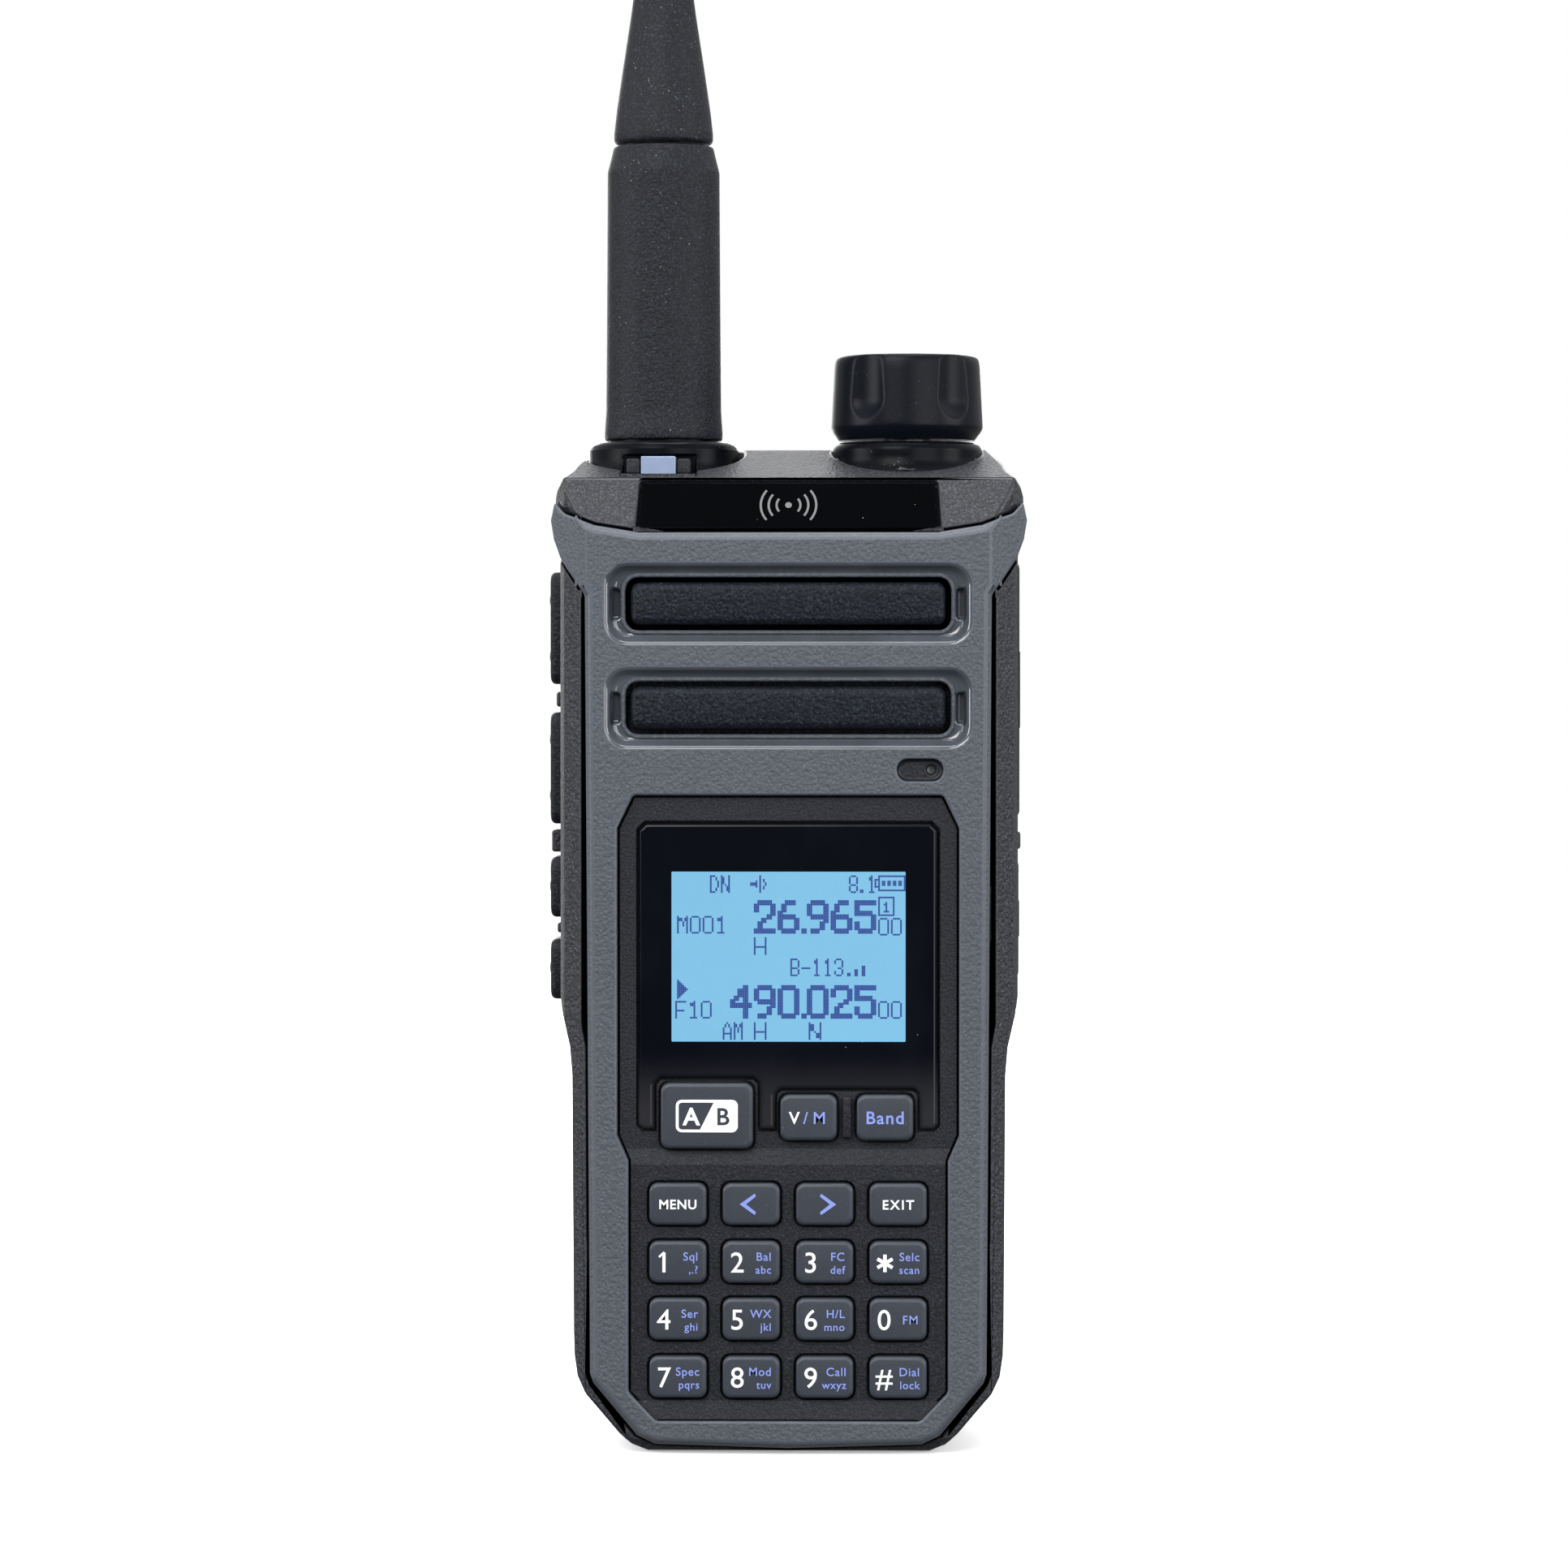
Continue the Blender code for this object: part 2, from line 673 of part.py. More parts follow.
def antenna():
    centre = (ANTENNA_X, TOP_Y)
    seat = turned(bowl(PEDESTAL_TOP, 123.3, 5.0), centre)
    ring = new_object("antenna_collar", seat, "soft_rubber", smooth=True)
    notch = box((LED_X - LED_NOTCH_HALF, -12.0, 122), (LED_X + LED_NOTCH_HALF, -7.3, 126.1))
    cut(ring, helper("collar_notch", notch))
    stud = turned(
        [
            (0, 134.0),
            (2.8, 134.0),
            (3.1, 133.4),
            (3.1, 128.0),
            (4.5, 128.0),
            (4.5, 119.2),
            (7.0, 119.2),
            (7.0, 117.6),
            (0, 117.6),
        ],
        centre,
        24,
    )
    new_object("antenna_connector", stud, "gold_plate", smooth=True)
    barrel = turned(
        [(3.5, 136.6), (5.3, 136.6), (5.3, 128.5), (3.5, 128.5), (3.5, 136.6)],
        centre,
        24,
    )
    nut = new_object("antenna_barrel", barrel, "bare_metal", smooth=True)
    sleeve = turned(
        [
            (0, 166.0),
            (6.15, 166.0),
            (6.25, 165.7),
            (6.5, 165.1),
            (7.2, 162.9),
            (7.2, ANTENNA_FOOT + 0.5),
            (6.9, ANTENNA_FOOT),
            (5.65, ANTENNA_FOOT),
            (5.65, 137.0),
            (0, 137.0),
        ],
        centre,
    )
    base = new_object("antenna_sleeve", sleeve, "soft_rubber", smooth=True)
    whip = turned(
        [
            (0, 287.8),
            (1.3, 287.4),
            (2.1, 286.2),
            (2.35, 284.0),
            (2.45, 240.0),
            (2.6, 210.0),
            (2.85, 198.0),
            (3.25, 191.0),
            (3.95, 184.8),
            (6.05, 170.7),
            (6.4, 168.0),
            (6.4, 166.7),
            (6.15, 166.3),
            (0, 166.3),
        ],
        centre,
    )
    rod = new_object("antenna_whip", whip, "soft_rubber", smooth=True)
    for piece in (nut, base, rod):
        set_origin(piece, (*centre, ANTENNA_FOOT))


def volume_control():
    centre = (KNOB_X, TOP_Y)
    knob = turned(
        [
            (0, KNOB_TOP),
            (8.6, KNOB_TOP),
            (9.25, KNOB_TOP - 0.6),
            (9.4, KNOB_TOP - 1.8),
            (9.8, KNOB_FOOT + 1.9),
            (9.7, KNOB_FOOT + 1.4),
            (8.8, KNOB_FOOT),
            (3.3, KNOB_FOOT),
            (3.3, 135.2),
            (0, 135.2),
        ],
        centre,
        48,
    )
    made = new_object("volume_knob", knob, "dark_shell", smooth=True)
    flutes = bmesh.new()
    for index in range(FLUTES):
        angle = math.radians(-122) + 2 * math.pi * index / FLUTES
        middle = (KNOB_X + FLUTE_REACH * math.cos(angle), TOP_Y + FLUTE_REACH * math.sin(angle))
        scoop = circle(*middle, FLUTE_RADIUS, 36)
        add_loft(flutes, [(scoop, 131.6), (scoop, KNOB_TOP + 2)], axis="Z")
    flute_cutter = helper("knob_flutes", flutes)
    set_origin(made, (*centre, KNOB_FOOT))
    cut(made, flute_cutter)
    rod = prism(circle(*centre, 3.0), 115.4, 134.8, axis="Z")
    shaft = new_object("knob_shaft", rod, "bare_metal", smooth=True)
    set_origin(shaft, (*centre, KNOB_FOOT))
    body = turned(
        [(3.3, 119.6), (6.2, 119.6), (6.2, 112.0), (0, 112.0), (0, 114.9), (3.3, 114.9), (3.3, 119.6)],
        centre,
        24,
    )
    new_object("volume_encoder", body, "bare_metal", smooth=True)


def side_controls():
    near, far = SIDE_BUTTON_Y
    for name, (low, high) in SIDE_BUTTONS.items():
        middle = ((near + far) / 2, (low + high) / 2)
        body = rounded(*middle, far - near, high - low, 1.5)
        bm = loft(
            (grown(body, -0.6), -30.6),
            (body, -29.9),
            (body, -25.7),
            (grown(body, 0.8), -25.7),
            (grown(body, 0.8), -24.9),
            axis="X",
        )
        button = new_object(name, bm, "soft_rubber")
        bumps = bmesh.new()
        offsets = (-3.6, 3.6) if high - low > 10 else (0,)
        for offset in offsets:
            spot = (middle[0], middle[1] + offset)
            add_loft(bumps, [(circle(*spot, 0.7, 12), -31.0), (circle(*spot, 1.3, 12), -30.2)], axis="X")
        combine(button, helper(f"{name}_bumps", bumps), "UNION")
        set_origin(button, (-25.7, *middle))
    near, far = SIDE_COVER_Y
    for name, (low, high, reach) in SIDE_COVERS.items():
        body = rounded((near + far) / 2, (low + high) / 2, far - near, high - low, 1.2)
        lid = loft((body, SIDE_COVER_INNER), (body, reach - 0.5), (grown(body, -0.5), reach), axis="X")
        flap = new_object(name, lid, "soft_rubber")
        set_origin(flap, (reach, far, (low + high) / 2))
    jacks = new_object("accessory_jack_block", box((12.5, -2.2, 84.5), (25.6, 4.6, 108.5)), "panel_black")
    bores = prism(circle(SOCKET_Y, 103, 1.8, 16), 13.5, 27, axis="X")
    add_loft(bores, [(circle(SOCKET_Y, 90, 1.3, 16), 13.5), (circle(SOCKET_Y, 90, 1.3, 16), 27)], axis="X")
    cut(jacks, helper("jack_bores", bores))
    shell = rounded(SOCKET_Y, 67, 3.2, 9.0, 1.5, steps=3)
    socket = new_object("usb_socket", prism(shell, 19.0, 25.8, axis="X"), "bare_metal")
    mouth = prism(rounded(SOCKET_Y, 67, 2.5, 8.3, 1.2, steps=3), 20.0, 27.0, axis="X")
    cut(socket, helper("usb_mouth", mouth))


def battery():
    low = 1.2
    profile = [
        (9.3, low),
        (15.6, low),
        (BATTERY_BACK, low + 2.2),
        (BATTERY_BACK, BATTERY_TOP),
        (9.3, BATTERY_TOP),
    ]
    case = new_object("battery_case", prism(profile, -32, 32, axis="X"), "dark_shell")
    combine(case, helper("battery_view", prism(casing_outline(), -2, 20)), "INTERSECT")
    plan = [
        (-GRIP_HALF, 0),
        (GRIP_HALF, 0),
        (GRIP_HALF, 13.0),
        (27.6, 16.0),
        (24.6, BATTERY_BACK),
        (-24.6, BATTERY_BACK),
        (-27.6, 16.0),
        (-GRIP_HALF, 13.0),
    ]
    combine(case, helper("battery_plan", prism(plan, -2, 130, axis="Z")), "INTERSECT")
    tray = mirrored(
        [
            (0, 3.4),
            (18.0, 3.4),
            (23.4, 9.4),
            (24.6, 14),
            (24.8, 46),
            (26.2, 58),
            (26.2, 97.2),
            (0, 97.2),
        ]
    )
    cut(case, helper("battery_tray", prism(tray, 5, 16.0)))
    cut(case, helper("latch_seat", box((-8.4, 16.3, 5.6), (8.4, 20, 16.2))))
    set_origin(case, (0, BATTERY_BACK, BATTERY_TOP))
    lid = new_object("battery_lid", prism(grown(tray, -GAP), 9.6, 10.7), "panel_black")
    set_origin(lid, (0, BATTERY_BACK, BATTERY_TOP))
    for name, z in (("battery_cell_lower", 29.5), ("battery_cell_upper", 74.0)):
        cell = new_object(name, prism(rounded(0, z, 43, 40, 1.5), 11.0, 15.7), "cell_wrap")
        set_origin(cell, (0, BATTERY_BACK, BATTERY_TOP))
    grip = rounded(0, 9.8, 16.0, 7.6, 0.8)
    slider = loft((grip, 16.6), (grip, 17.9), (grown(grip, -0.4), 18.3))
    latch = new_object("battery_latch", slider, "soft_rubber")
    set_origin(latch, (0, 16.6, 6.0))


def belt_clip():
    base = BATTERY_BACK + GAP
    seat = box((-11.0, base, CLIP_Z - 7), (11.0, base + 1.4, CLIP_Z + 7))
    bracket = new_object("clip_bracket", seat, "dark_shell")
    ears = bmesh.new()
    ear = [
        (base + 0.7, CLIP_Z - 5.5),
        (CLIP_Y + 1.0, CLIP_Z - 2.4),
        (CLIP_Y + 2.4, CLIP_Z),
        (CLIP_Y + 1.0, CLIP_Z + 2.4),
        (base + 0.7, CLIP_Z + 5.5),
    ]
    for side in (-1, 1):
        ends = sorted((side * 8.7, side * 10.7))
        add_loft(ears, [(ear, ends[0]), (ear, ends[1])], axis="X")
    combine(bracket, helper("clip_ears", ears), "UNION")
    cut(bracket, helper("ear_holes", prism(circle(CLIP_Y, CLIP_Z, 1.5, 16), -12, 12, axis="X")))
    rod = prism(circle(CLIP_Y, CLIP_Z, 1.2, 16), -10.9, 10.9, axis="X")
    pin = new_object("clip_pin", rod, "bare_metal")
    set_origin(pin, (0, CLIP_Y, CLIP_Z))
    side_view = [
        (24.6, 88.0),
        (24.6, 40.0),
        (24.2, 34.5),
        (22.9, 31.0),
        (21.4, 29.6),
        (19.8, 29.4),
        (18.4, 30.6),
        (18.2, 32.4),
        (19.0, 33.8),
        (20.4, 33.9),
        (21.6, 35.4),
        (22.4, 38.0),
        (22.6, 41.0),
        (22.6, 86.9),
        (20.6, 87.8),
        (19.8, 89.2),
        (19.8, 90.8),
        (20.9, 92.3),
        (22.6, 92.9),
        (23.3, 101.0),
        (24.5, 101.6),
        (25.1, 100.4),
        (24.9, 93.0),
    ]
    clip = new_object("belt_clip", prism(side_view, -CLIP_HALF, CLIP_HALF, axis="X"), "dark_shell")
    bore = helper("clip_bore", prism(circle(CLIP_Y, CLIP_Z, 1.5, 16), -12, 12, axis="X"))
    cut(clip, bore)
    set_origin(clip, (0, CLIP_Y, CLIP_Z))


def main():
    clear_scene()
    main_housing()
    front_cover()
    keypad_panel()
    keys()
    front_parts()
    inner_parts()
    antenna()
    volume_control()
    side_controls()
    battery()
    belt_clip()


main()
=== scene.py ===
"""Handheld radio: finished casing, keys, display, antenna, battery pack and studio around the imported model.

Lengths that come straight from a drawing are millimetres and are turned to metres by MM.
+Z is up, the keypad faces -Y, and the origin is the middle of the base.
"""

import json
import math

import bmesh
import bpy
from bpy.props import FloatProperty, FloatVectorProperty, IntProperty, PointerProperty, StringProperty
from bpy.types import Operator, Panel, PropertyGroup
from mathutils import Matrix, Vector


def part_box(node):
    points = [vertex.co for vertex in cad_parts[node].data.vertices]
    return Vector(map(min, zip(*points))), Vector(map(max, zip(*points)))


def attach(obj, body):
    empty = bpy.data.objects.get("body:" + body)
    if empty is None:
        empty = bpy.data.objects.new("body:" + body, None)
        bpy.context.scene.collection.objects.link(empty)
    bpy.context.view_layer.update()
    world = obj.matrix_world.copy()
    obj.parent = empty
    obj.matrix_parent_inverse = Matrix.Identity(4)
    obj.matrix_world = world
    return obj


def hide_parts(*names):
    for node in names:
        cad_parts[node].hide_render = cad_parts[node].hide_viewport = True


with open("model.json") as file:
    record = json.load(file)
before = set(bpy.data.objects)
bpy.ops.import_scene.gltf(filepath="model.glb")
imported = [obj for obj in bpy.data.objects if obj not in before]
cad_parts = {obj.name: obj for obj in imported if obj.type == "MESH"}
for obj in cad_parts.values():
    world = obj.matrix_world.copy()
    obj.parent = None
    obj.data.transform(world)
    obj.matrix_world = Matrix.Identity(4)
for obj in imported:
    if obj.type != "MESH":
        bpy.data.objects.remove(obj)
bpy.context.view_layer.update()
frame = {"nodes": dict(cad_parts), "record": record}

bl_info = {
    "name": "Handheld radio",
    "version": (1, 0, 0),
    "blender": (4, 5, 0),
    "location": "View3D > Sidebar > Radio",
    "description": "Finishes a handheld radio's packed model and lights it",
    "category": "Object",
}

MM = 0.001
BODY_OF = {node: body for body, nodes in frame["record"]["behaviour"]["bodies"].items() for node in nodes}
SLOT_OF = {row["node"]: row["material_slot"] for row in frame["record"]["subparts"]}
CASE = "radio_body"
PACK = "battery_pack"
EDGE = "edge"
CAPITAL = 0.727    # height of a capital letter at text size 1
SHOULDER_STEPS = 6


# ---------------------------------------------------------------- node trees


class Value:
    """A node's output that arithmetic works on: each operation adds its Math node."""

    def __init__(self, tree, socket):
        self.tree = tree
        self.socket = socket

    def math(self, operation, *terms):
        return self.tree.node("ShaderNodeMath", {"operation": operation}, dict(enumerate(terms)))

    def __add__(self, other):
        return self.math("ADD", self, other)

    def __radd__(self, other):
        return self.math("ADD", other, self)

    def __sub__(self, other):
        return self.math("SUBTRACT", self, other)

    def __rsub__(self, other):
        return self.math("SUBTRACT", other, self)

    def __mul__(self, other):
        return self.math("MULTIPLY", self, other)

    def above(self, level, width):
        """0 below the level, 1 above it, with a soft step of that width between."""
        inputs = {"Value": self, "From Min": level, "From Max": level + width}
        return self.tree.node("ShaderNodeMapRange", {"interpolation_type": "SMOOTHSTEP"}, inputs)


class Tree:
    """A shader node tree that is filled by calls."""

    def __init__(self, owner):
        owner.use_nodes = True
        self.nodes = owner.node_tree.nodes
        self.links = owner.node_tree.links
        self.nodes.clear()

    def node(self, kind, settings=None, inputs=None, output=0):
        """Adds a node: its settings come first, then the values or links of its sockets."""
        made = self.nodes.new(kind)
        for name, value in (settings or {}).items():
            setattr(made, name, value)
        for key, value in (inputs or {}).items():
            if isinstance(value, Value):
                self.links.new(value.socket, made.inputs[key])
            else:
                made.inputs[key].default_value = value
        return Value(self, made.outputs[output]) if made.outputs else None

    def mix(self, factor, first, second):
        settings = {"data_type": "RGBA", "clamp_factor": True}
        return self.node("ShaderNodeMix", settings, {0: factor, 6: first, 7: second}, output=2)


class Finish(Tree):
    """A material whose patterns are laid on the object's own coordinates, in millimetres."""

    def __init__(self, name):
        self.material = bpy.data.materials.new(name)
        super().__init__(self.material)
        local = self.node("ShaderNodeTexCoord", output="Object")
        self.place = self.scaled(local, (1000, 1000, 1000))

    def scaled(self, vector, by):
        return self.node("ShaderNodeVectorMath", {"operation": "MULTIPLY"}, {0: vector, 1: by})

    def noise(self, size, detail=2.0, stretch=None):
        """Smooth random values from 0 to 1 whose lumps measure about size."""
        place = self.scaled(self.place, stretch) if stretch else self.place
        inputs = {"Vector": place, "Scale": 1 / size, "Detail": detail}
        return self.node("ShaderNodeTexNoise", None, inputs)

    def cells(self, size, feature="F1"):
        inputs = {"Vector": self.place, "Scale": 1 / size}
        return self.node("ShaderNodeTexVoronoi", {"feature": feature}, inputs)

    def attribute(self, name):
        return self.node("ShaderNodeAttribute", {"attribute_name": name}, output="Fac")

    def surface(self, height=None, depth=0.02, constants=None, **patterns):
        """Ends the tree: patterns feed the shader, height raises its surface by depth."""
        inputs = dict(constants or {})
        inputs.update({name.replace("_", " "): value for name, value in patterns.items()})
        if height is not None:
            bump = {"Strength": 1.0, "Distance": depth * MM, "Height": height}
            inputs["Normal"] = self.node("ShaderNodeBump", None, bump)
        shader = self.node("ShaderNodeBsdfPrincipled", None, inputs)
        self.node("ShaderNodeOutputMaterial", None, {"Surface": shader})
        return self.material


def shade(colour, by=1.0):
    return (*(min(1.0, part * by) for part in colour), 1.0)


def moulded(name, colour, rough, grain, depth, dust, painted_grain_shading, specular):
    """Spark-eroded plastic or rubber: a pebbled grain with painted highlights on its pebbles and painted
    shade between them, rubbed edges that are lightened partly as painted highlight, and a little dust.
    """
    f = Finish(name)
    pebbles = f.cells(grain, "SMOOTH_F1")
    fine = f.noise(grain * 0.55, 3.0)
    broad = f.noise(14.0, 3.0)
    edge = f.attribute(EDGE)
    painted_highlight_mask = (1 - pebbles.above(0.25, 0.35)) * fine.above(0.42, 0.2)
    tone = f.mix(broad, shade(colour, 0.90), shade(colour, 1.10))
    # painted highlight: the pebbles' crowns are lighter, as if lit
    tone = f.mix(painted_highlight_mask * painted_grain_shading, tone, shade(colour, 3.4))
    # painted shade: the hollows between the pebbles are darker
    tone = f.mix((1 - fine.above(0.40, 0.18)) * painted_grain_shading, tone, shade(colour, 0.40))
    # rubbed edges, lightened partly as painted highlight on the rounded strips
    tone = f.mix(edge * 0.5, tone, shade(colour, 1.5))
    specks = f.noise(0.32, 1.0).above(0.735, 0.02) * f.noise(5.0).above(0.45, 0.2)
    tone = f.mix(specks * dust, tone, shade((0.6, 0.62, 0.66)))
    roughness = rough - 0.08 + broad * 0.12 + fine * 0.10 - edge * 0.14 + specks * 0.2
    height = (pebbles * 0.9 + fine * 0.55) * (1 - edge * 0.75)
    constants = {"Specular IOR Level": specular}
    return f.surface(height, depth, constants, Base_Color=tone, Roughness=roughness)


def polished(name, colour, rough, dust, specular, painted_reflection=0.0, foot=None):
    """Polished plastic with faint waves, smudges and a few grains of dust; paler below the foot's height as a
    painted reflection.
    """
    f = Finish(name)
    smudge = f.noise(7.0, 4.0, (1.0, 1.0, 0.55)).above(0.42, 0.35)
    specks = (1 - f.cells(1.7).above(0.028, 0.015)) * f.noise(8.0, 1.0).above(0.52, 0.1)
    tone = f.mix(smudge, shade(colour, 0.85), shade(colour, 1.2))
    if foot is not None:
        height = f.node("ShaderNodeSeparateXYZ", None, {0: f.place}, output=2)
        # painted reflection: the finish turns paler below the foot's height
        tone = f.mix((1 - height.above(foot, 9.0)) * painted_reflection, tone, shade((0.045, 0.045, 0.050)))
    tone = f.mix(specks * dust, tone, shade((0.45, 0.47, 0.5)))
    roughness = rough + smudge * 0.06 + specks * 0.4
    constants = {"Specular IOR Level": specular}
    return f.surface(f.noise(11.0, 1.0), 0.012, constants, Base_Color=tone, Roughness=roughness)


def plated(name, colour, rough, stretch=(1.0, 1.0, 0.06), depth=0.004):
    """Metal with fine drawn lines and a little tarnish."""
    f = Finish(name)
    lines = f.noise(0.12, 2.0, stretch)
    stain = f.noise(2.5, 4.0)
    tone = f.mix(stain.above(0.45, 0.3), shade(colour), shade(colour, 0.78))
    roughness = rough + lines * 0.16 + stain * 0.12
    return f.surface(lines, depth, {"Metallic": 1.0}, Base_Color=tone, Roughness=roughness)


def circuit_board(name, colour):
    f = Finish(name)
    tracks = f.cells(1.6, "DISTANCE_TO_EDGE").above(0.06, 0.02)
    pads = f.cells(2.3).above(0.16, 0.03)
    tone = f.mix(tracks, shade(colour, 2.0), shade(colour))
    tone = f.mix(pads, shade((0.75, 0.6, 0.3)), tone)
    roughness = 0.32 + f.noise(3.0) * 0.2
    return f.surface(tracks, 0.02, None, Base_Color=tone, Roughness=roughness)


def screen(name, colour):
    """A lit display: a cloudy, almost even glow that a thin haze softens."""
    f = Finish(name)
    cloud = f.noise(16.0, 1.0)
    glow = f.mix(cloud, shade(colour, 0.93), shade(colour, 1.10))
    body = f.mix(f.noise(0.3), shade(colour, 0.12), shade(colour, 0.18))
    constants = {"Emission Strength": 0.80, "Specular IOR Level": 0.3}
    roughness = 0.35 + f.noise(2.0) * 0.1
    return f.surface(None, 0, constants, Base_Color=body, Emission_Color=glow, Roughness=roughness)


def ink(name, colour):
    """Printed lacquer with slightly uneven cover."""
    f = Finish(name)
    tone = f.mix(f.noise(0.7, 3.0), shade(colour, 0.88), shade(colour, 1.04))
    roughness = 0.42 + f.noise(0.4) * 0.2
    return f.surface(f.noise(0.15), 0.006, None, Base_Color=tone, Roughness=roughness)


def light_guide(name, colour):
    f = Finish(name)
    cloud = f.noise(1.2, 3.0)
    tone = f.mix(cloud, shade(colour, 0.9), shade(colour, 1.12))
    constants = {"Coat Weight": 0.4, "Emission Color": shade(colour), "Emission Strength": 0.12}
    return f.surface(cloud, 0.01, constants, Base_Color=tone, Roughness=0.24 + cloud * 0.14)


def shrink_film(name, colour):
    f = Finish(name)
    creases = f.noise(1.6, 4.0, (1.0, 1.0, 0.2))
    tone = f.mix(creases, shade(colour, 0.8), shade(colour, 1.2))
    return f.surface(creases, 0.12, None, Base_Color=tone, Roughness=0.22 + creases * 0.2)


def paint(slot):
    """The finish of one of the record's material slots, or of an ink or a trim, made once."""
    name = f"{slot}_finish"
    if name in bpy.data.materials:
        return bpy.data.materials[name]
    shell = bpy.context.scene.radio_shell
    keys = bpy.context.scene.radio_keys
    grain = shell.grain / MM
    makers = {
        "grey_shell": lambda n: moulded(
            n, shell.cover_colour, rough=0.50, grain=grain, depth=0.110, dust=0.15, painted_grain_shading=0.16,
            specular=0.4),
        "grey_lip": lambda n: polished(n, shell.cover_colour, rough=0.10, dust=0.1, specular=0.9),
        "dark_shell": lambda n: moulded(
            n, shell.housing_colour, rough=0.50, grain=grain, depth=0.15, dust=0.3, painted_grain_shading=1.0,
            specular=0.4),
        "bar_black": lambda n: moulded(
            n, (0.0060, 0.0080, 0.0125), rough=0.42, grain=grain, depth=0.10, dust=0.15, painted_grain_shading=0.8,
            specular=0.15),
        "panel_black": lambda n: moulded(
            n, (0.0095, 0.0112, 0.0155), rough=0.48, grain=0.30, depth=0.050, dust=0.12, painted_grain_shading=0.6,
            specular=0.26),
        "gloss_black": lambda n: polished(
            n, (0.0025, 0.0032, 0.0060), rough=0.10, dust=0.6, specular=0.2, painted_reflection=0.5, foot=42.0),
        "plate_black": lambda n: polished(n, (0.0006, 0.0009, 0.0014), rough=0.08, dust=0.6, specular=0.03),
        "key_rubber": lambda n: moulded(
            n, keys.cap_colour, rough=0.36, grain=0.22, depth=0.006, dust=0.05, painted_grain_shading=0.06, specular=0.4),
        "soft_rubber": lambda n: moulded(
            n, (0.0062, 0.0076, 0.0112), rough=0.50, grain=0.36, depth=0.075, dust=0.4, painted_grain_shading=1.0,
            specular=0.22),
        "knob_black": lambda n: moulded(
            n, (0.0030, 0.0042, 0.0072), rough=0.30, grain=0.22, depth=0.008, dust=0.1, painted_grain_shading=0.15,
            specular=0.10),
        "seat_black": lambda n: moulded(
            n, (0.0018, 0.0025, 0.0040), rough=0.26, grain=0.24, depth=0.008, dust=0.15, painted_grain_shading=0.2,
            specular=0.07),
        "lcd_glass": lambda n: screen(n, bpy.context.scene.radio_display.glow),
        "lcd_dot": lambda n: ink(n, bpy.context.scene.radio_display.dot_colour),
        "led_window": lambda n: light_guide(n, (0.20, 0.25, 0.37)),
        "board_green": lambda n: circuit_board(n, (0.02, 0.11, 0.05)),
        "cast_metal": lambda n: plated(n, (0.55, 0.55, 0.57), 0.42, stretch=(1, 1, 1), depth=0.02),
        "tin_plate": lambda n: plated(n, (0.66, 0.66, 0.68), 0.24),
        "gold_plate": lambda n: plated(n, (0.80, 0.58, 0.24), 0.20),
        "cell_wrap": lambda n: shrink_film(n, (0.05, 0.16, 0.33)),
        "white_ink": lambda n: ink(n, keys.main_ink),
        "blue_ink": lambda n: ink(n, keys.second_ink),
        "grey_ink": lambda n: ink(n, (0.13, 0.13, 0.135)),
    }
    return makers[slot](name)


# ---------------------------------------------------------------- mesh making


def link(name, mesh):
    made = bpy.data.objects.new(name, mesh)
    bpy.context.scene.collection.objects.link(made)
    return made


def from_bmesh(name, bm, smooth=30):
    """An object from a bmesh, smooth but for edges sharper than the angle given in degrees."""
    bmesh.ops.recalc_face_normals(bm, faces=bm.faces)
    mesh = bpy.data.meshes.new(name)
    bm.to_mesh(mesh)
    bm.free()
    mesh.shade_smooth()
    mesh.set_sharp_from_angle(angle=math.radians(smooth))
    return link(name, mesh)


def settle(piece, slot, body, nodes=()):
    """Paints a finished piece, makes it ride on its body and stand for its CAD nodes."""
    if not piece.data.materials:
        piece.data.materials.append(paint(slot))
    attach(piece, body)
    if nodes:
        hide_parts(*nodes)
    return piece


def plain_mesh(piece):
    """Puts the evaluated mesh in place of the piece's modifiers."""
    depsgraph = bpy.context.evaluated_depsgraph_get()
    mesh = bpy.data.meshes.new_from_object(piece.evaluated_get(depsgraph))
    piece.modifiers.clear()
    piece.data = mesh
    return piece


def lofted(bm, rings):
    """Skins rings of equal count and closes both ends."""
    loops = [[bm.verts.new(Vector(point) * MM) for point in ring] for ring in rings]
    count = len(loops[0])
    for near, far in zip(loops, loops[1:]):
        for i in range(count):
            after = (i + 1) % count
            bm.faces.new((near[i], near[after], far[after], far[i]))
    bm.faces.new(loops[0])
    bm.faces.new(loops[-1])


def rounded(middle_u, middle_v, width, height, radius, steps=6):
    """A rectangle with round corners."""
    points = []
    radius = max(radius, 0.02)
    for corner, (side_u, side_v) in enumerate(((1, -1), (1, 1), (-1, 1), (-1, -1))):
        at_u = middle_u + side_u * (width / 2 - radius)
        at_v = middle_v + side_v * (height / 2 - radius)
        for step in range(steps + 1):
            angle = math.radians(90 * (corner - 1) + 90 * step / steps)
            points.append((at_u + radius * math.cos(angle), at_v + radius * math.sin(angle)))
    return points


def facing(axis, outline, depth):
    """The outline's points at a depth along the X or the Y axis."""
    if axis == "X":
        return [(depth, u, v) for u, v in outline]
    return [(u, depth, v) for u, v in outline]


def pad(bm, axis, rect, back, front, radius, shoulder, steps=6):
    """A cushioned block on a rounded rectangle (centre u, centre v, width, height), its front edge round."""
    u, v, width, height = rect
    outward = 1 if front > back else -1
    rings = [facing(axis, rounded(u, v, width, height, radius, steps), back)]
    for step in range(5):
        turn = math.pi / 2 * step / 4
        inset = shoulder * (1 - math.cos(turn))
        depth = front - outward * shoulder * (1 - math.sin(turn))
        size = (width - 2 * inset, height - 2 * inset)
        rings.append(facing(axis, rounded(u, v, *size, radius - inset, steps), depth))
    lofted(bm, rings)


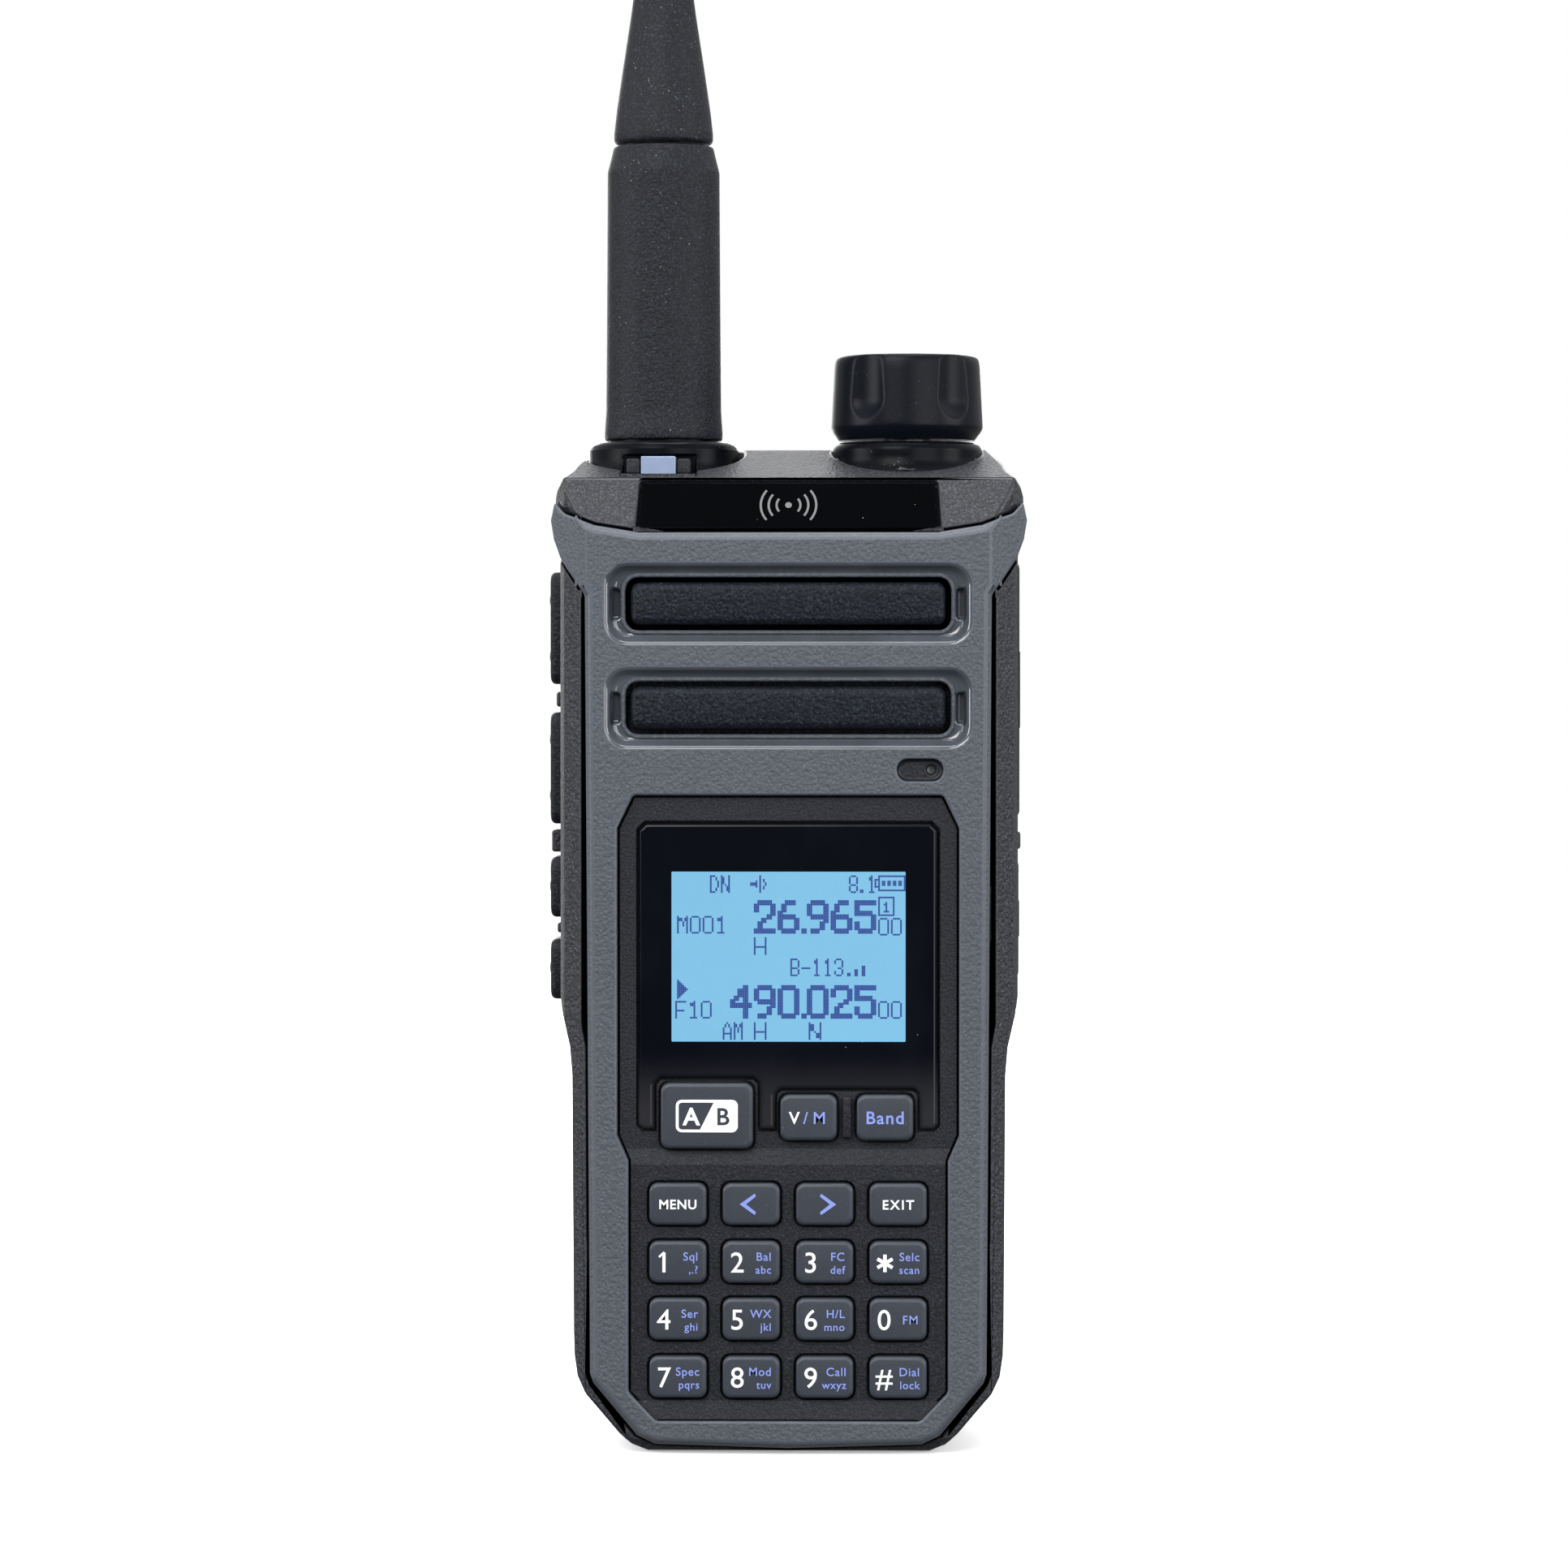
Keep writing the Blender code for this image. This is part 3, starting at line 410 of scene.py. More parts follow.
def softened(profile, radius, steps=5):
    """The open profile with each inner corner drawn as a short curve."""
    points = [Vector(p) for p in profile]
    made = [points[0]]
    for before, here, after in zip(points, points[1:], points[2:]):
        reach = min(radius, (before - here).length * 0.45, (after - here).length * 0.45)
        start = here + (before - here).normalized() * reach
        end = here + (after - here).normalized() * reach
        for step in range(steps + 1):
            t = step / steps
            made.append(start * (1 - t) ** 2 + here * 2 * t * (1 - t) + end * t**2)
    made.append(points[-1])
    return made


def turned(name, profile, centre, steps=96, closed=False):
    """A piece turned about a vertical axis from its profile of (radius, height) points."""
    bm = bmesh.new()
    rings = []
    for radius, height in profile:
        if radius < 0.001:
            rings.append([bm.verts.new(Vector((*centre, height)) * MM)])
            continue
        ring = []
        for i in range(steps):
            angle = 2 * math.pi * i / steps
            at = (centre[0] + radius * math.cos(angle), centre[1] + radius * math.sin(angle), height)
            ring.append(bm.verts.new(Vector(at) * MM))
        rings.append(ring)
    pairs = list(zip(rings, rings[1:]))
    if closed:
        pairs.append((rings[-1], rings[0]))
    for near, far in pairs:
        for i in range(steps):
            after = (i + 1) % steps
            corners = [near[i % len(near)], near[after % len(near)], far[after % len(far)], far[i % len(far)]]
            corners = list(dict.fromkeys(corners))
            if len(corners) > 2:
                bm.faces.new(corners)
    return from_bmesh(name, bm)


def tidy_copy(node):
    """A copy of a CAD node's mesh with its loose triangles merged into whole faces."""
    bm = bmesh.new()
    bm.from_mesh(frame["nodes"][node].data)
    bmesh.ops.remove_doubles(bm, verts=bm.verts, dist=0.015 * MM)
    bmesh.ops.dissolve_degenerate(bm, dist=0.01 * MM, edges=bm.edges)
    bmesh.ops.dissolve_limit(bm, angle_limit=math.radians(1.5), verts=bm.verts, edges=bm.edges)
    mesh = bpy.data.meshes.new(node)
    bm.to_mesh(mesh)
    bm.free()
    return mesh


def even_normals(mesh, strips):
    """Corner normals that keep wide faces flat and let the rounded strips blend from one to the next."""
    around = [[] for _ in mesh.vertices]
    for polygon in mesh.polygons:
        row = (polygon.normal.copy(), polygon.area / MM**2, strips[polygon.index])
        for vertex in polygon.vertices:
            around[vertex].append(row)
    same = math.cos(math.radians(20))
    near = math.cos(math.radians(62))
    normals = []
    for polygon in mesh.polygons:
        for vertex in polygon.vertices:
            flats = [row for row in around[vertex] if not row[2]]
            facing_to = polygon.normal
            if strips[polygon.index] and flats:
                closest = max(flats, key=lambda row: row[0].dot(polygon.normal))
                facing_to = closest[0] if closest[0].dot(polygon.normal) > near else None
            if facing_to is None or (strips[polygon.index] and not flats):
                rows = [(n, area) for n, area, strip in around[vertex]
                        if strip and n.dot(polygon.normal) > near]
            else:
                rows = [(n, area**2) for n, area, _ in flats if n.dot(facing_to) > same]
            total = sum((n * weight for n, weight in rows), Vector())
            normals.append(total.normalized() if total.length > 0 else polygon.normal.copy())
    mesh.normals_split_custom_set(normals)


def refined(node, radius, angle=28, segments=3):
    """A CAD node's shape with its edges rounded; the rounded strips carry the edge attribute."""
    piece = link(f"{node}_finished", tidy_copy(node))
    mesh = piece.data
    main = paint(SLOT_OF[node])
    mesh.materials.append(main)
    mesh.materials.append(main)
    bevel = piece.modifiers.new("Edges", "BEVEL")
    bevel.width = radius * MM
    bevel.segments = segments
    bevel.limit_method = "ANGLE"
    bevel.angle_limit = math.radians(angle)
    bevel.use_clamp_overlap = False
    bevel.miter_outer = "MITER_ARC"
    bevel.material = 1
    plain_mesh(piece)
    mesh = piece.data
    mark = mesh.attributes.new(EDGE, "FLOAT", "FACE")
    strips = [polygon.material_index == 1 for polygon in mesh.polygons]
    for polygon in mesh.polygons:
        mark.data[polygon.index].value = float(strips[polygon.index])
        polygon.material_index = 0
        polygon.use_smooth = True
    even_normals(mesh, strips)
    mesh.materials.clear()
    mesh.materials.append(main)
    settle(piece, SLOT_OF[node], BODY_OF[node], [node])
    return piece


def repeated(name, points, shape, finish):
    """Sets the shape on every point with Geometry Nodes and returns the result as a plain mesh."""
    tree = bpy.data.node_groups.new(name, "GeometryNodeTree")
    tree.is_modifier = True
    sockets = {}
    for label, kind in (("Geometry", "NodeSocketGeometry"), ("Shape", "NodeSocketObject"),
                        ("Size", "NodeSocketFloat"), ("Finish", "NodeSocketMaterial")):
        sockets[label] = tree.interface.new_socket(label, in_out="INPUT", socket_type=kind)
    tree.interface.new_socket("Geometry", in_out="OUTPUT", socket_type="NodeSocketGeometry")
    kinds = ("NodeGroupInput", "GeometryNodeObjectInfo", "GeometryNodeInstanceOnPoints",
             "GeometryNodeRealizeInstances", "GeometryNodeSetMaterial", "NodeGroupOutput")
    source, info, instance, realize, coat, result = (tree.nodes.new(kind) for kind in kinds)
    wires = (
        (source.outputs["Geometry"], instance.inputs["Points"]),
        (source.outputs["Shape"], info.inputs["Object"]),
        (info.outputs["Geometry"], instance.inputs["Instance"]),
        (source.outputs["Size"], instance.inputs["Scale"]),
        (instance.outputs["Instances"], realize.inputs["Geometry"]),
        (realize.outputs["Geometry"], coat.inputs["Geometry"]),
        (source.outputs["Finish"], coat.inputs["Material"]),
        (coat.outputs["Geometry"], result.inputs["Geometry"]),
    )
    for start, end in wires:
        tree.links.new(start, end)
    carrier = bpy.data.meshes.new(name)
    carrier.from_pydata([Vector(point) * MM for point in points], [], [])
    piece = link(name, carrier)
    modifier = piece.modifiers.new("Repeat", "NODES")
    modifier.node_group = tree
    modifier[sockets["Shape"].identifier] = shape
    modifier[sockets["Size"].identifier] = 1.0
    modifier[sockets["Finish"].identifier] = finish
    plain_mesh(piece)
    bpy.data.objects.remove(shape, do_unlink=True)
    piece.data.materials.clear()
    piece.data.materials.append(finish)
    for polygon in piece.data.polygons:
        polygon.material_index = 0
    return piece


def joined(name, pieces):
    """One object from several meshes, keeping their materials."""
    bm = bmesh.new()
    materials = []
    for piece in pieces:
        start = len(bm.faces)
        bm.from_mesh(piece.data)
        bm.faces.ensure_lookup_table()
        own = list(piece.data.materials)
        for face in bm.faces[start:]:
            material = own[face.material_index]
            if material not in materials:
                materials.append(material)
            face.material_index = materials.index(material)
        bpy.data.objects.remove(piece, do_unlink=True)
    mesh = bpy.data.meshes.new(name)
    bm.to_mesh(mesh)
    bm.free()
    for material in materials:
        mesh.materials.append(material)
    return link(name, mesh)


def lettering(text, height, at, front, slot, weight=0.0, spacing=1.0, align="CENTER", proud=0.04):
    """Printed text that faces -Y: its capitals are height tall and stand on at's level."""
    curve = bpy.data.curves.new("print", "FONT")
    curve.body = text
    curve.size = height / CAPITAL
    curve.align_x = align
    curve.space_character = spacing
    curve.offset = weight
    curve.extrude = proud / 2
    curve.resolution_u = 4
    source = bpy.data.objects.new("print", curve)
    bpy.context.scene.collection.objects.link(source)
    depsgraph = bpy.context.evaluated_depsgraph_get()
    mesh = bpy.data.meshes.new_from_object(source.evaluated_get(depsgraph))
    bpy.data.objects.remove(source, do_unlink=True)
    upright = Matrix.Rotation(math.pi / 2, 4, "X")
    laid = Matrix.Translation(Vector((at[0], front + proud / 2, at[1]))) @ upright
    mesh.transform(Matrix.Scale(MM, 4) @ laid)
    mesh.materials.clear()
    mesh.materials.append(paint(slot))
    return link("print", mesh)


def flat_print(outline, front, slot, proud=0.04):
    """A printed shape that faces -Y, from its outline."""
    bm = bmesh.new()
    lofted(bm, [facing("Y", outline, front + proud), facing("Y", outline, front)])
    made = from_bmesh("print", bm)
    made.data.materials.append(paint(slot))
    return made


# ---------------------------------------------------------------- settings


class RadioShellSettings(PropertyGroup):
    cover_colour: FloatVectorProperty(
        name="Cover colour", description="Blue-grey of the front cover", subtype="COLOR",
        size=3, min=0, max=1, default=(0.060, 0.0685, 0.084))
    housing_colour: FloatVectorProperty(
        name="Housing colour", description="Charcoal of the housing and battery", subtype="COLOR",
        size=3, min=0, max=1, default=(0.0145, 0.0160, 0.0210))
    grain: FloatProperty(
        name="Grain", description="Size of the moulded pebble grain", default=0.42 * MM, unit="LENGTH")
    edge: FloatProperty(
        name="Edge radius", description="Rounding of the casing's edges", default=0.35 * MM, unit="LENGTH")


class RadioKeySettings(PropertyGroup):
    cap_colour: FloatVectorProperty(
        name="Cap colour", description="Satin black of the key caps", subtype="COLOR",
        size=3, min=0, max=1, default=(0.033, 0.039, 0.052))
    main_ink: FloatVectorProperty(
        name="Main ink", description="Ink of digits and menu words", subtype="COLOR",
        size=3, min=0, max=1, default=(0.86, 0.87, 0.88))
    second_ink: FloatVectorProperty(
        name="Second ink", description="Ink of second functions", subtype="COLOR",
        size=3, min=0, max=1, default=(0.22, 0.29, 0.70))
    shoulder: FloatProperty(
        name="Shoulder", description="Rounding of a cap's front edge", default=0.5 * MM, unit="LENGTH")


class RadioDisplaySettings(PropertyGroup):
    glow: FloatVectorProperty(
        name="Glow", description="Colour of the lit display", subtype="COLOR",
        size=3, min=0, max=1, default=(0.21, 0.53, 0.78))
    dot_colour: FloatVectorProperty(
        name="Dots", description="Colour of a darkened dot", subtype="COLOR",
        size=3, min=0, max=1, default=(0.004, 0.035, 0.22))
    dot_fill: FloatProperty(
        name="Dot fill", description="Part of its cell that a dot covers", default=0.97, min=0.5, max=1.0)
    upper_reading: StringProperty(
        name="Upper reading", description="Upper reading of the display", default="26.965")
    lower_reading: StringProperty(
        name="Lower reading", description="Lower reading of the display", default="490.025")


class RadioTurnedSettings(PropertyGroup):
    steps: IntProperty(
        name="Steps", description="Facets round a turned piece", default=96, min=24, max=256)
    flutes: IntProperty(
        name="Flutes", description="Finger scoops of the volume knob", default=5, min=3, max=12)


class RadioStageSettings(PropertyGroup):
    azimuth: FloatProperty(
        name="Azimuth", description="Camera's turn to the right", default=math.radians(1.2), subtype="ANGLE")
    elevation: FloatProperty(
        name="Elevation", description="Camera's height angle", default=math.radians(1.0), subtype="ANGLE")
    lens: FloatProperty(
        name="Lens", description="Focal length in millimetres", default=130.0, min=20)
    width: FloatProperty(
        name="Width", description="Width of the view at the keypad", default=197 * MM, unit="LENGTH")


# ---------------------------------------------------------------- operators


class RADIO_OT_casing(Operator):
    """Front cover, housing and keypad panel, with rounded edges that are rubbed and lightened partly as
    painted highlight
    """

    bl_idname = "radio.casing"
    bl_label = "Casing"

    def execute(self, context):
        radius = context.scene.radio_shell.edge / MM
        cover = refined("front_cover", radius)
        self.polish_slots(cover)
        refined("main_housing", radius)
        self.sill()
        return {"FINISHED"}

    def polish_slots(self, cover):
        """The recesses round the speaker bars are polished, and the microphone slot's inside is painted black
        as painted shade.
        """
        cover.data.materials.append(paint("grey_lip"))
        cover.data.materials.append(paint("panel_black"))
        lip, black = 1, 2
        bars = [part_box(f"speaker_bar_{side}") for side in ("lower", "upper")]
        slots = [(low.z + high.z) / 2 / MM for low, high in bars]
        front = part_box("front_cover")[0].y / MM
        for polygon in cover.data.polygons:
            x, y, z = polygon.center / MM
            sunk = y - front
            near_slot = abs(x) < 23.2 and any(abs(z - middle) < 5.15 for middle in slots)
            if near_slot and 0.03 < sunk < 3.0:
                polygon.material_index = lip
            # painted shade: the microphone slot's sunk faces take the black finish
            near_microphone = abs(x - 16.6) < 3.6 and abs(z - 86.1) < 1.8
            if near_microphone and sunk > 0.03:
                polygon.material_index = black

    def sill(self):
        """The panel's raised lower edge and the bar between two of the keys."""
        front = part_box("keypad_panel")[0].y / MM
        back = front + 0.3
        bm = bmesh.new()
        rows = []
        for half, proud, z in ((16.7, 0.35, 4.3), (18.9, 0.01, 6.6)):
            section = ((-half, back), (half, back), (half, front - proud), (-half, front - proud))
            rows.append([(x, y, z) for x, y in section])
        lofted(bm, rows)
        settle(from_bmesh("panel_sill", bm), "panel_black", CASE)
        bm = bmesh.new()
        pad(bm, "Y", (7.4, 42.4, 1.2, 5.2), -16.0, -17.9, 0.3, 0.25)
        settle(from_bmesh("key_divider", bm), "panel_black", CASE)


class RADIO_OT_speaker(Operator):
    """Textured bars in the speaker slots and the thin lips round them"""

    bl_idname = "radio.speaker"
    bl_label = "Speaker bars"

    def execute(self, context):
        for side in ("lower", "upper"):
            node = f"speaker_bar_{side}"
            low, high = (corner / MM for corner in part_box(node))
            middle = (low.z + high.z) / 2
            flange = rounded(0, middle, 42.6, 8.2, 1.5)
            bar = rounded(0, middle, 39.6, 5.4, 1.2)
            step_y = high.y - 0.8
            bm = bmesh.new()
            rings = [facing("Y", flange, high.y), facing("Y", flange, step_y), facing("Y", bar, step_y)]
            for step in range(SHOULDER_STEPS + 1):
                turn = math.pi / 2 * step / SHOULDER_STEPS
                inset = 0.95 * (1 - math.cos(turn))
                depth = low.y + 1.1 * (1 - math.sin(turn))
                outline = rounded(0, middle, 39.6 - 2 * inset, 5.4 - 2 * inset, 1.2 - 0.8 * inset)
                rings.append(facing("Y", outline, depth))
            lofted(bm, rings)
            settle(from_bmesh(f"{node}_finished", bm), "bar_black", CASE, [node])
            self.lip(side, middle, low.y)
        return {"FINISHED"}

    def lip(self, side, middle, front):
        """A thin rounded ring that frames the slot."""
        bm = bmesh.new()
        section = [(0.0, 1.35), (0.0, 0.92), (0.16, 0.78), (0.36, 0.78), (0.52, 0.92), (0.52, 1.35)]
        rings = []
        for out, depth in section:
            outline = rounded(0, middle, 41.0 + 2 * out, 6.7 + 2 * out, 1.6 + out)
            rings.append([bm.verts.new(Vector(p) * MM) for p in facing("Y", outline, front + depth)])
        count = len(rings[0])
        for near, far in zip(rings, rings[1:] + rings[:1]):
            for i in range(count):
                after = (i + 1) % count
                bm.faces.new((near[i], near[after], far[after], far[i]))
        settle(from_bmesh(f"slot_lip_{side}", bm), "grey_shell", CASE)


class RADIO_OT_keys(Operator):
    """Nineteen key caps with soft shoulders and their printed legends"""

    bl_idname = "radio.keys"
    bl_label = "Keys"

    WORDS = {
        "1": ("Sql", ",.?"), "2": ("Bal", "abc"), "3": ("FC", "def"), "star": ("Selc", "scan"),
        "4": ("Ser", "ghi"), "5": ("WX", "jkl"), "6": ("H/L", "mno"), "0": ("FM", ""),
        "7": ("Spec", "pqrs"), "8": ("Mod", "tuv"), "9": ("Call", "wxyz"), "hash": ("Dial", "lock"),
    }

    def execute(self, context):
        keys = context.scene.radio_keys
        for node in sorted(n for n in frame["nodes"] if n.startswith("key_") and BODY_OF[n] == f"{n}_cap"):
            low, high = (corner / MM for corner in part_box(node))
            name = node[4:]
            size = (high.x - low.x - 1.5, high.z - low.z - 1.3)
            centre = ((low.x + high.x) / 2, (low.z + high.z) / 2)
            self.cap(node, centre, size, low.y + 0.04, high.y, keys.shoulder / MM)
            made = joined(f"legend_{name}", self.legend(name, centre, low.y))
            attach(made, BODY_OF[node])
        return {"FINISHED"}

    def cap(self, node, centre, size, front, back, shoulder):
        bm = bmesh.new()
        wide = rounded(*centre, size[0] + 1.5, size[1] + 1.3, 1.0)
        body = rounded(*centre, *size, 1.05)
        rings = [facing("Y", wide, back), facing("Y", wide, back - 0.5), facing("Y", body, back - 0.5)]
        for step in range(SHOULDER_STEPS + 1):
            turn = math.pi / 2 * step / SHOULDER_STEPS
            inset = shoulder * (1 - math.cos(turn))
            depth = front + 0.8 * shoulder * (1 - math.sin(turn))
            outline = rounded(*centre, size[0] - 2 * inset, size[1] - 2 * inset, 1.05 - 0.7 * inset)
            rings.append(facing("Y", outline, depth))
        lofted(bm, rings)
        settle(from_bmesh(f"{node}_finished", bm, 40), "key_rubber", BODY_OF[node], [node])

    def legend(self, name, centre, front):
        """The printed pieces of one key: its main sign in white, its second functions in blue."""
        x, z = centre
        if name == "ab":
            return self.split_sign(centre, front)
        if name in ("left", "right"):
            return [self.arrow(centre, front, 1 if name == "right" else -1)]
        if name == "vm":
            white = lettering("V", 1.55, (x - 1.8, z - 0.75), front, "white_ink", 0.035)
            return [white, lettering("/ M", 1.55, (x + 0.75, z - 0.75), front, "blue_ink", 0.02)]
        if name == "band":
            return [lettering("Band", 1.62, (x, z - 0.75), front, "blue_ink", 0.035, 1.13)]
        if name in ("menu", "exit"):
            spacing = 1.1 if name == "menu" else 1.25
            return [lettering(name.upper(), 1.2, (x, z - 0.6), front, "white_ink", 0.035, spacing)]
        upper, lower = self.WORDS[name]
        if name == "star":
            made = [self.star((x - 1.65, z - 0.1), front)]
        else:
            sign = "#" if name == "hash" else name
            made = [lettering(sign, 2.65, (x - 1.75, z - 1.28), front, "white_ink", 0.015)]
        if name == "1":
            flag = [(x - 2.45, z + 0.75), (x - 1.75, z + 1.37), (x - 1.75, z + 1.02), (x - 2.3, z + 0.52)]
            made.append(flat_print(flag, front + 0.004, "white_ink"))
        right = x + 2.0 + 0.18 * max(3, len(upper), len(lower))
        if not lower:
            return made + [lettering(upper, 1.12, (right, z - 0.56), front, "blue_ink", 0.012, 1.12, "RIGHT")]
        made.append(lettering(upper, 1.08, (right, z + 0.2), front, "blue_ink", 0.012, 1.1, "RIGHT"))
        made.append(lettering(lower, 1.0, (right, z - 1.42), front, "blue_ink", 0.012, 1.1, "RIGHT"))
        return made

    def star(self, centre, front):
        """Six short strokes."""
        strokes = []
        for turn in range(3):
            angle = math.radians(90 + 60 * turn)
            along = Vector((math.cos(angle), math.sin(angle)))
            across = Vector((-along.y, along.x))
            ends = [along * 1.1 + across * 0.22, along * 1.1 - across * 0.22]
            ends += [-end for end in ends]
            middle = Vector(centre)
            outline = [tuple(middle + end) for end in ends]
            strokes.append(flat_print(outline, front + 0.004 * turn, "white_ink"))
        return joined("star", strokes)

    def arrow(self, centre, front, side):
        """An open arrow head."""
        reach, rise, stroke = 1.0, 1.35, 0.40
        middle = centre[0] + side * 0.45
        tip = (middle + side * reach, centre[1])
        tail = middle - side * reach
        outline = [
            tip,
            (tail + side * 0.1, centre[1] + rise),
            (tail - side * 0.05, centre[1] + rise - stroke * 0.9),
            (tip[0] - side * stroke * 2.0, centre[1]),
            (tail - side * 0.05, centre[1] - rise + stroke * 0.9),
            (tail + side * 0.1, centre[1] - rise),
        ]
        return flat_print(outline, front, "blue_ink")

    def split_sign(self, centre, front):
        """A white frame split by a slanting line, light letter on dark and dark on light."""
        x, z = centre
        half_w, half_h, rim = 3.9, 2.05, 0.36
        outer = rounded(x, z, 2 * half_w, 2 * half_h, 0.75)
        inner = rounded(x, z, 2 * (half_w - rim), 2 * (half_h - rim), 0.42)
        lean = 1.0
        dark = [p for p in inner if p[0] < x - 0.5]
        right = [(x + lean - 0.15, z + half_h - rim), (x - lean + 0.15, z - half_h + rim)]
        upper = [p for p in dark if p[1] > z]
        lower = [p for p in dark if p[1] <= z]
        plate = flat_print(outer, front + 0.024, "white_ink", 0.03)
        left = flat_print([right[0], *upper, *lower, right[1]], front + 0.012, "key_rubber", 0.03)
        first = lettering("A", 2.2, (x - 1.95, z - 1.1), front, "white_ink", 0.08)
        second = lettering("B", 2.2, (x + 2.0, z - 1.1), front + 0.008, "key_rubber", 0.05)
        return [plate, left, first, second]


class RADIO_OT_display(Operator):
    """Glossy lens, the lit screen on its face and the dots that show a reading"""

    bl_idname = "radio.display"
    bl_label = "Display"

    WINDOW = (0.05, 62.6, 29.45, 21.4)    # centre x, centre z, width, height
    DOTS = (128, 96)
    PROUD = 0.012
    LETTERS = {
        "0": ".###. #...# #...# #...# #...# #...# .###.",
        "1": "..#.. .##.. ..#.. ..#.. ..#.. ..#.. .###.",
        "2": ".###. #...# ....# ...#. ..#.. .#... #####",
        "3": ".###. #...# ....# ..##. ....# #...# .###.",
        "4": "...#. ..##. .#.#. #..#. ##### ...#. ...#.",
        "5": "##### #.... ####. ....# ....# #...# .###.",
        "6": "..##. .#... #.... ####. #...# #...# .###.",
        "8": ".###. #...# #...# .###. #...# #...# .###.",
        "9": ".###. #...# #...# .#### ....# ...#. .##..",
        "A": "..#.. .#.#. #...# #...# ##### #...# #...#",
        "B": "####. #...# #...# ####. #...# #...# ####.",
        "D": "###.. #..#. #...# #...# #...# #..#. ###..",
        "F": "##### #.... #.... ####. #.... #.... #....",
        "H": "#...# #...# #...# ##### #...# #...# #...#",
        "M": "#...# ##.## #.#.# #.#.# #...# #...# #...#",
        "N": "#...# ##..# ##..# #.#.# #..## #..## #...#",
        "-": "..... ..... ..... ##### ..... ..... .....",
    }

    def execute(self, context):
        settings = context.scene.radio_display
        x, z, width, height = self.WINDOW
        refined("display_lens", 0.22)
        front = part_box("display_lens")[0].y / MM
        bm = bmesh.new()
        outline = rounded(x, z, width, height, 0.1, 2)
        lofted(bm, [facing("Y", outline, front + depth) for depth in (0.10, -self.PROUD)])
        settle(from_bmesh("display_screen", bm), "lcd_glass", CASE)
        across, down = width / self.DOTS[0], height / self.DOTS[1]
        bm = bmesh.new()
        dot = rounded(0, 0, across * settings.dot_fill, down * settings.dot_fill, 0.02, 1)
        lofted(bm, [facing("Y", dot, 0.0), facing("Y", dot, -self.PROUD)])
        shape = from_bmesh("display_dot", bm)
        left, top = x - width / 2, z + height / 2
        level = front - self.PROUD
        places = sorted(self.reading(settings))
        points = [(left + (c + 0.5) * across, level, top - (r + 0.5) * down) for c, r in places]
        dots = repeated("display_dots", points, shape, paint("lcd_dot"))
        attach(dots, CASE)
        return {"FINISHED"}

    def glyph(self, letter, columns, rows):
        """The letter's dots, with the listed columns and rows of its 5 by 7 grid drawn in turn."""
        grid = self.LETTERS[letter].split()
        cells = ((c, r, grid[row][column]) for r, row in enumerate(rows) for c, column in enumerate(columns))
        return {(c, r) for c, r, mark in cells if mark == "#"}

    def line(self, text, column, row, width=6):
        """A row of small letters ten dots tall and 5 to 7 dots wide."""
        dots = set()
        columns = {5: (0, 1, 2, 3, 4), 6: (0, 1, 1, 2, 3, 4), 7: (0, 1, 1, 2, 3, 3, 4)}[width]
        for letter in text:
            if letter == ".":
                dots |= {(column + c, row + 8 + r) for c in range(2) for r in range(2)}
                column += 4
                continue
            found = self.glyph(letter, columns, (0, 1, 1, 2, 2, 3, 4, 5, 5, 6))
            dots |= {(column + c, row + r) for c, r in found}
            column += len(columns) + 1
        return dots

    def large(self, text, column, row):
        """Large digits, with strokes three dots thick."""
        dots = set()
        for letter in text:
            if letter == ".":
                dots |= {(column + c, row + 16 + r) for c in range(3) for r in range(3)}
                column += 3
                continue
            for c, r in self.glyph(letter, range(5), (0, 1, 1, 2, 3, 4, 5, 5, 6)):
                left = column + (0, 2, 4, 7, 9)[c]
                dots |= {(left + i, row + 2 * r + j) for i in range(3) for j in range(3)}
            column += 13
        return dots

    def reading(self, settings):
        """Every dark dot, as (column, row) from the top left corner."""
        dots = self.line("DN", 21, 2, 5) | self.line("8.1", 97, 2, 5)
        dots |= {(43 + c, 6 + r) for c in range(3) for r in (0, 1)} | {(46, r) for r in range(5, 9)}
        dots |= {(48, r) for r in range(2, 12)} | {(50, r) for r in (4, 5, 8, 9)} | {(51, 6), (51, 7)}
        dots |= {(c, r) for c in range(113, 128) for r in (2, 10)}
        dots |= {(c, r) for c in (113, 127) for r in range(2, 11)} | {(111, r) for r in range(4, 9)}
        dots |= {(112, 4), (112, 8)}
        dots |= {(c + i, r) for c in (115, 118, 121, 124) for i in range(2) for r in range(5, 8)}
        dots |= {(c, r) for c in range(113, 122) for r in (14, 24)}
        dots |= {(c, r) for c in (113, 121) for r in range(14, 25)}
        dots |= {(116, 18)} | {(117, r) for r in range(17, 22)} | {(c, 22) for c in (116, 117, 118)}
        dots |= self.line("M001", 3, 25) | self.large(settings.upper_reading, 45, 16)
        dots |= self.line("00", 113, 26) | self.line("H", 45, 37, 7)
        dots |= self.line("B-113", 65, 49, 5)
        dots |= {(96 + 4 * bar + i, 58 - r) for bar in range(3) for i in range(2) for r in range(2 + 2 * bar)}
        dots |= {(3 + c, 66 + r) for c in range(7) for r in range(c - 5, 6 - c)}
        dots |= self.line("F10", 2, 73) | self.large(settings.lower_reading, 32, 64)
        dots |= self.line("00", 113, 73)
        dots |= self.line("AM", 28, 85, 5) | self.line("H", 45, 85, 7) | self.line("N", 75, 85, 7)
        return dots


